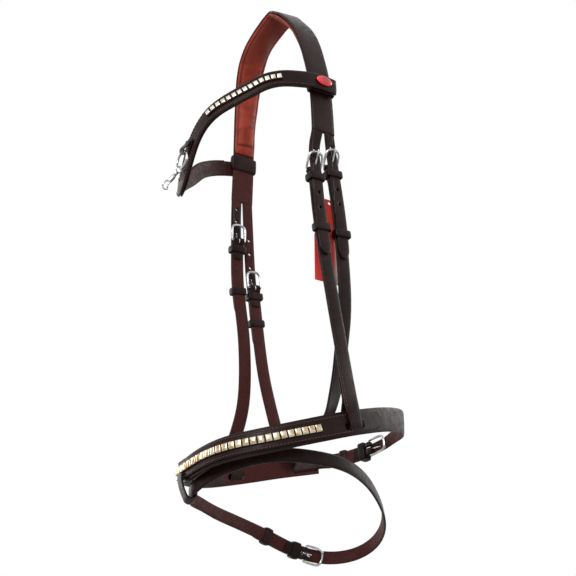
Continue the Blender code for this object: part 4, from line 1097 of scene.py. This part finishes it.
@dataclass
class PadWork:
    """A sewn pad under a strap: swelled by a cloth simulation, then drawn in along its seams."""

    bench: Bench
    node: str
    line: Line
    look: bpy.types.Material
    slot: Slot
    seat: float
    half: float
    cap: float
    seams: tuple[float, ...] = (-0.80, 0.80)
    cross_seams: tuple[float, ...] = ()
    middle_half: float = 0.0
    pressure: float = 4.0
    last_frame: int = 20
    seam_wide: float = 0.055
    cross_wide: float = 0.0014
    dip: float = 0.0011
    underside: tuple[float, float] = (0.0008, 0.0030)
    widening: tuple[float, float] = (0.18, 0.73)
    # Where the painted shade inside the crown's arch fades: along the crown, as shares of the way to its ends,
    # and across it, as shares of the half width.
    handled: tuple[float, float] = (0.12, 0.42)
    between: tuple[float, float] = (0.70, 0.82)

    def build(self) -> bpy.types.Object:
        """Makes the pad.

        Returns:
            The pad.
        """
        piece = self.bench.copy_node(self.node, "padded_" + self.node)
        self.bench.soften(piece, sharp=75.0)
        before = self.bench.points_of(piece)
        self.swell(piece)
        moved = self.bench.points_of(piece) - before
        far = np.linalg.norm(moved, axis=1, keepdims=True)
        points = before + moved * np.minimum(1.0, self.cap / np.maximum(far, 1e-9))
        self.bench.move_points(piece, self.seated(points))
        self.bench.finish_with(piece, "SMOOTH", factor=0.5, iterations=2)
        self.bench.finish_with(piece, "SUBSURF", levels=1, render_levels=1)
        self.draw_seams(piece)
        if not self.line.closed:
            self.bench.ease(piece, self.line)
        self.bench.shade(piece, 180.0)
        self.bench.dress(piece, self.look, self.slot, "headstall", self.node)
        return piece

    def swell(self, piece: bpy.types.Object) -> None:
        """Blows the pad up as cloth over its filling.

        Args:
            piece: The pad.
        """
        scene = bpy.context.scene
        scene.gravity = (0.0, 0.0, 0.0)
        cloth = piece.modifiers.new("cloth", "CLOTH")
        cloth.settings.use_pressure = True
        cloth.settings.uniform_pressure_force = self.pressure
        cloth.settings.effector_weights.gravity = 0.0
        cloth.point_cache.frame_start = 1
        cloth.point_cache.frame_end = self.last_frame
        for number in range(1, self.last_frame + 1):
            scene.frame_set(number)
        self.bench.pick(piece)
        bpy.ops.object.modifier_apply(modifier="cloth")
        scene.frame_set(1)

    def seated(self, points: np.ndarray) -> np.ndarray:
        """Keeps the pad off the strap that it is sewn to.

        Args:
            points: The pad's points.

        Returns:
            The points, none above the strap's underside.
        """
        found = self.line.locate(points)
        over = np.maximum(found["depth"] + self.seat, 0.0)
        return points - found["side"] * over[:, None]

    def half_at(self, along: np.ndarray) -> np.ndarray:
        """Gives half the pad's width at places along it.

        Args:
            along: The places.

        Returns:
            The half widths.
        """
        if not self.middle_half:
            return np.full(len(along), self.half)
        widened = gentle(self.line.away(along), *self.widening)
        return self.middle_half + (self.half - self.middle_half) * widened

    def seam_places(self, piece: bpy.types.Object, start: float, stop: float, pitch: float) -> list[Place]:
        """Lists places for stitches in the seams, on the pad's own skin.

        Args:
            piece: The finished pad.
            start: Where the rows start along the line.
            stop: Where they stop.
            pitch: The distance between stitches.

        Returns:
            A place for each stitch.
        """
        places = []
        for index in range(int((stop - start) / pitch)):
            distance = start + (index + 0.5) * pitch
            point, along, sideways, out = self.line.frame(distance)
            half = float(self.half_at(np.array([distance]))[0])
            for share in self.seams:
                below = point + sideways * share * half - out * 0.030
                hit, spot, _, _ = piece.ray_cast(Vector(below), Vector(out))
                if hit:
                    places.append((np.array(spot), along, -out))
        return places

    def draw_seams(self, piece: bpy.types.Object) -> None:
        """Draws the pad in along its sewn lines, and notes where its finish paints shade: in the seam grooves
        and inside the crown's arch.

        Args:
            piece: The pad.
        """
        points = self.bench.points_of(piece)
        found = self.line.locate(points)
        pull = np.zeros(len(points))
        half = self.half_at(found["along"])
        for share in self.seams:
            pull += np.exp(-(((found["across"] / half - share) / self.seam_wide) ** 2))
        for place in self.cross_seams:
            pull += np.exp(-(((found["along"] - place) / self.cross_wide) ** 2))
        pull = np.minimum(pull, 1.0)
        lower = gentle(-(found["depth"] + self.seat), *self.underside)
        points = points + found["side"] * (pull * lower * self.dip)[:, None]
        self.bench.move_points(piece, self.seated(points))
        # Painted shade: where the seams draw the underside in, noted for the finish to darken.
        self.bench.note(piece, "seam", pull * lower)
        # Painted shade: darkest in the middle of the crown's arch, between the seams; the closed noseband pad
        # gets none.
        middle = 1.0 - gentle(self.line.away(found["along"]), *self.handled)
        between = 1.0 - gentle(np.abs(found["across"] / half), *self.between)
        self.bench.note(piece, "handled", middle * between * (not self.line.closed))


@dataclass(frozen=True)
class Square:
    """A kind of clincher: its length, width and rise, its dome's rise, and how high its carrier lies."""

    size: Share
    dome: float
    lift: float


@dataclass
class Clinchers:
    """Rows of plated squares on a dark carrier."""

    bench: Bench
    looks: Finishes
    lines: dict[str, Line]
    pitch: float = 0.0063
    width: float = 0.0070
    base: float = 0.0006
    taper: float = 0.86
    large: Square = Square((0.0056, 0.0066, 0.0015), 0.0005, 0.0041)
    small: Square = Square((0.0048, 0.0052, 0.0013), 0.0003, 0.0024)
    nose_count: int = 46
    brow_count: int = 14
    brow_start_share: float = 0.150

    def master(self, name: str, kind: Square) -> bpy.types.Object:
        """Models one clincher at the origin.

        Args:
            name: Its name.
            kind: Its sizes.

        Returns:
            The clincher.
        """
        size = kind.size
        piece = self.bench.block(name, size, size[2] / 2)
        with self.bench.editing(piece):
            bpy.ops.mesh.subdivide(number_cuts=2)
        points = self.bench.points_of(piece)
        top = points[:, 2] > size[2] * 0.9
        reach = np.maximum(np.abs(points[:, 0]) / size[0] * 2, np.abs(points[:, 1]) / size[1] * 2)
        points[:, 2] += top * kind.dome * (1.0 - reach**2)
        points[top, :2] *= self.taper
        self.bench.move_points(piece, points)
        self.bench.finish_with(piece, "BEVEL", width=size[2] * 0.16, segments=1, limit_method="ANGLE")
        return piece

    def carrier(self, name: str, line: Line, start: float, stop: float, lift: float) -> bpy.types.Object:
        """Models the strip that carries a row, and lays it on its line.

        Args:
            name: Its name.
            line: The strap's line.
            start: Where it starts.
            stop: Where it stops.
            lift: How far over the line it lies.

        Returns:
            The strip.
        """
        length = abs(stop - start)
        piece = self.bench.block(name, (length, self.width, self.base))
        cuts = range(1, int(length / self.pitch))
        self.bench.section(piece, [-length / 2 + cut * self.pitch for cut in cuts])
        laid = []
        low = min(start, stop)
        for along, across, rise in self.bench.points_of(piece):
            point, _, sideways, out = line.frame(low + length / 2 + along)
            laid.append(point + sideways * across + out * (lift + self.base / 2 + rise))
        self.bench.move_points(piece, np.array(laid))
        self.bench.finish_with(piece, "BEVEL", width=0.0002, segments=1, limit_method="ANGLE")
        self.bench.shade(piece, 40.0)
        return piece

    def row(self, node: str, body: str, line: Line, start: float, count: int, heading: int) -> None:
        """Makes one row and its carrier.

        Args:
            node: The CAD node.
            body: The body that it rides on.
            line: The strap's line.
            start: Where the row starts.
            count: How many clinchers.
            heading: With the line or against it.
        """
        brow = body == "browband"
        kind = self.small if brow else self.large
        master = self.master(node + "_one", kind)
        places = []
        for index in range(count):
            point, along, _, out = line.frame(start + heading * (index + 0.5) * self.pitch)
            places.append((point + out * (kind.lift + self.base * 0.9), along, out))
        row = self.bench.repeat(node + "_squares", master, places)
        self.bench.dress(row, self.looks.cream if brow else self.looks.silver, Slot.CLINCHER, body, node)
        stop = start + heading * count * self.pitch
        carrier = self.carrier(node + "_carrier", line, start, stop, kind.lift)
        self.bench.dress(carrier, self.looks.leather, Slot.LEATHER, body)

    def build(self) -> None:
        """Makes the noseband's row and the browband's two."""
        nose, brow = self.lines["nose"], self.lines["brow"]
        first = -self.nose_count * self.pitch / 2
        self.row("noseband_clincher", "headstall", nose, first, self.nose_count, 1)
        first = brow.length * self.brow_start_share
        self.row("browband_clincher_near", "browband", brow, first, self.brow_count, 1)
        self.row("browband_clincher_off", "browband", brow, brow.length - first, self.brow_count, -1)


@dataclass
class Stitching:
    """Rows of stitches, each a copy of one modelled stitch."""

    bench: Bench
    looks: Finishes
    lines: dict[str, Line]
    long: float = 0.0021
    thread: float = 0.00055
    pitch: float = 0.0031
    nose_reach: float = 0.176
    brow_end: float = 0.030
    buckle_row: tuple[float, float] = (0.0085, 0.0215)
    fold_row: tuple[float, float] = (0.045, 0.013)

    def master(self) -> bpy.types.Object:
        """Models one stitch: a short thread whose ends dip into the leather.

        Returns:
            The stitch.
        """
        bpy.ops.object.select_all(action="DESELECT")
        bpy.ops.mesh.primitive_cylinder_add(vertices=6, radius=self.thread / 2, depth=self.long)
        piece = bpy.context.active_object
        bpy.ops.transform.rotate(value=math.pi / 2, orient_axis="Y", center_override=(0.0, 0.0, 0.0))
        bpy.ops.object.transform_apply(location=True, rotation=True, scale=True)
        self.bench.section(piece, [-0.25 * self.long, 0.25 * self.long])
        points = self.bench.points_of(piece)
        reach = np.abs(points[:, 0]) / (self.long / 2)
        points[:, 1:] *= (1.0 - 0.35 * reach**4)[:, None]
        points[:, 2] -= self.thread * 0.55 * reach**3
        self.bench.move_points(piece, points)
        return piece

    def rows(self, line: Line, *spans: tuple[float, float], aside: float, lift: float) -> list[Place]:
        """Lists the places of rows on both sides of a strap's middle.

        Args:
            line: The strap's line.
            spans: Where the rows of one side start and stop.
            aside: How far from the middle the rows are.
            lift: How far over the line.

        Returns:
            A place for each stitch.
        """
        places = []
        for across in (-aside, aside):
            for start, stop in spans:
                count = int(round((stop - start) / self.pitch))
                for index in range(count):
                    distance = start + (stop - start) * (index + 0.5) / count
                    point, along, sideways, out = line.frame(distance)
                    places.append((point + sideways * across + out * lift, along, out))
        return places

    def sew(self, name: str, body: str, places: list[Place], look: bpy.types.Material, slot: Slot) -> None:
        """Sews a set of rows as one piece.

        Args:
            name: The piece's name.
            body: The body that it rides on.
            places: A place for each stitch.
            look: The thread.
            slot: The record's slot.
        """
        piece = self.bench.repeat(name, self.master(), places)
        self.bench.dress(piece, look, slot, body)

    def build(self) -> None:
        """Sews the noseband's overlay, the browband, and the ends of the hangers and cheekpieces."""
        thread = self.looks.dark_thread
        span = (-self.nose_reach, self.nose_reach)
        rows = self.rows(self.lines["nose"], span, aside=0.0076, lift=0.0039)
        self.sew("noseband_overlay_stitches", "headstall", rows, thread, Slot.LEATHER)
        brow = self.lines["brow"]
        span = (self.brow_end, brow.length - self.brow_end)
        rows = self.rows(brow, span, aside=0.0072, lift=0.00165)
        self.sew("browband_stitches", "browband", rows, thread, Slot.LEATHER)
        for side in Side:
            hanger, cheek = self.lines[side.label + "_hanger"], self.lines[side.label + "_cheek"]
            span = tuple(hanger.length - back for back in self.fold_row)
            rows = self.rows(hanger, self.buckle_row, span, aside=0.0060, lift=0.00155)
            rows += self.rows(cheek, self.buckle_row, aside=0.0060, lift=0.00155)
            self.sew(side.label + "_strap_stitches", "headstall", rows, thread, Slot.LEATHER)


@dataclass
class Badge:
    """The bare oval badge on the near end of the browband."""

    bench: Bench
    looks: Finishes

    def build(self) -> None:
        """Makes the badge."""
        piece = self.bench.copy_node("browband_badge", "domed_badge")
        self.bench.soften(piece, sharp=60.0, quads=30.0)
        points = self.bench.points_of(piece)
        middle = points.mean(0)
        away = np.linalg.norm(points - middle, axis=1)
        self.bench.note(piece, "middle", 1.0 - gentle(away, away.max() * 0.35, away.max() * 0.62))
        self.bench.dress(piece, self.looks.enamel, Slot.ENAMEL, "browband", "browband_badge")


@dataclass
class SwingTag:
    """The bare card tag behind the near straps."""

    bench: Bench
    looks: Finishes

    def build(self) -> None:
        """Makes the tag."""
        piece = self.bench.copy_node("swing_tag", "card_tag")
        self.bench.finish_with(piece, "BEVEL", width=0.00012, segments=2, limit_method="ANGLE")
        with self.bench.editing(piece):
            bpy.ops.mesh.quads_convert_to_tris()
            bpy.ops.mesh.subdivide(number_cuts=5)
        points = self.bench.points_of(piece)
        far = points[:, 1].max()
        self.bench.note(piece, "line", gentle(points[:, 1], far - 0.0016, far - 0.0011))
        self.bench.shade(piece, 30.0)
        self.bench.dress(piece, self.looks.card, Slot.CARD, "tag", "swing_tag")


@dataclass
class Studio:
    """A pale floor, soft lamps, a white surround and the photograph's camera."""

    floor_drop: float = -1.25
    eye: Share = (0.791, -0.478, -0.7773)
    target: Share = (0.098, -0.048, -0.3973)
    lens: float = 61.3
    middle: Share = (0.0, 0.0, -0.3)
    ambient: float = 0.45

    @staticmethod
    def hang(name: str, data: bpy.types.ID, place: Share, aim: Share) -> bpy.types.Object:
        """Hangs a lamp or the camera.

        Args:
            name: Its name.
            data: The lamp or the camera.
            place: Where it hangs.
            aim: What it points at.

        Returns:
            The lamp or camera, in the scene.
        """
        piece = bpy.data.objects.new(name, data)
        piece.location = place
        piece.rotation_euler = (Vector(aim) - Vector(place)).to_track_quat("-Z", "Y").to_euler()
        bpy.context.scene.collection.objects.link(piece)
        return piece

    def floor(self) -> None:
        """Lays the floor."""
        bpy.ops.object.select_all(action="DESELECT")
        bpy.ops.mesh.primitive_plane_add(size=8.0, location=(0.0, 0.0, self.floor_drop))
        piece = bpy.context.active_object
        piece.name = "studio_floor"
        bpy.ops.object.transform_apply(location=True, rotation=True, scale=True)
        work = NodeWork("floor_paint")
        work.wear("Base Color", work.mix(work.noise(3.0), (0.82, 0.82, 0.82), (0.86, 0.86, 0.86)))
        work.wear("Roughness", 0.8)
        piece.data.materials.append(work.material)

    def lamp(self, name: str, place: Share, size: float, power: float) -> None:
        """Hangs a soft lamp that points at the bridle's middle.

        Args:
            name: Its name.
            place: Where it hangs.
            size: Its width.
            power: Its power in watts.
        """
        data = bpy.data.lights.new(name, "AREA")
        data.shape = "SQUARE"
        data.size = size
        data.energy = power
        self.hang(name, data, place, self.middle)

    def surround(self) -> None:
        """Sets a white surround for the camera and a softer one for the light."""
        scene = bpy.context.scene
        world = bpy.data.worlds.new("studio")
        world.use_nodes = True
        scene.world = world
        tree = world.node_tree
        back = tree.nodes["Background"]
        back.inputs["Color"].default_value = (1.0, 1.0, 1.0, 1.0)
        path = tree.nodes.new("ShaderNodeLightPath")
        total = path.outputs["Is Camera Ray"]
        for ray in ("Is Glossy Ray", "Is Transmission Ray"):
            add = tree.nodes.new("ShaderNodeMath")
            add.operation = "ADD"
            add.use_clamp = True
            tree.links.new(total, add.inputs[0])
            tree.links.new(path.outputs[ray], add.inputs[1])
            total = add.outputs[0]
        strength = tree.nodes.new("ShaderNodeMapRange")
        strength.inputs[3].default_value = self.ambient
        strength.inputs[4].default_value = 1.0
        tree.links.new(total, strength.inputs[0])
        tree.links.new(strength.outputs[0], back.inputs["Strength"])

    def camera(self) -> None:
        """Sets the camera up."""
        data = bpy.data.cameras.new("camera")
        data.sensor_width = 36.0
        data.lens = self.lens
        data.clip_start = 0.01
        bpy.context.scene.camera = self.hang("camera", data, self.eye, self.target)

    def build(self) -> None:
        """Sets the studio up."""
        self.floor()
        self.lamp("key", (1.3, -1.5, 0.35), size=1.0, power=26.0)
        self.lamp("fill", (-1.5, -0.9, -0.2), size=1.4, power=14.0)
        self.lamp("rim", (0.3, 1.6, 0.5), size=1.2, power=14.0)
        self.surround()
        self.camera()
        bpy.context.scene.view_settings.view_transform = "Standard"


def main(frame: dict) -> None:
    """Dresses the bridle, piece by piece.
    """
    logging.basicConfig(level=logging.INFO, format="%(message)s")
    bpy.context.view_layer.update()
    bench, looks = Bench(frame), Finishes()
    crown, nose = crown_line(), ring_line(NOSE_SHARES)
    lines = {"crown": crown, "nose": nose, "flash": ring_line(FLASH_SHARES), "brow": brow_line()}
    for side in Side:
        lines[side.label + "_hanger"] = hanger_line(side, nose)
        lines[side.label + "_cheek"] = cheek_line(side)
    StrapWork(bench, looks, lines).build()
    MetalWork(bench, looks).build()
    crown_pad = PadWork(
        bench, "crown_padding", crown, looks.lining, Slot.LINING, seat=0.00205, half=0.0137, cap=0.0014,
        cross_seams=(0.073, crown.length - 0.080), middle_half=0.0167,
    )
    lining = crown_pad.build()
    PadWork(
        bench, "noseband_padding", nose, looks.flesh, Slot.FLESH, seat=0.0018, half=0.0113, cap=0.0010
    ).build()
    stitches = Stitching(bench, looks, lines)
    places = crown_pad.seam_places(lining, start=0.075, stop=crown.length - 0.075, pitch=0.0032)
    stitches.sew("lining_stitches", "headstall", places, looks.tan_thread, Slot.LINING)
    Clinchers(bench, looks, lines).build()
    stitches.build()
    Badge(bench, looks).build()
    SwingTag(bench, looks).build()
    Studio().build()


if __name__ == "__main__":
    main(frame)
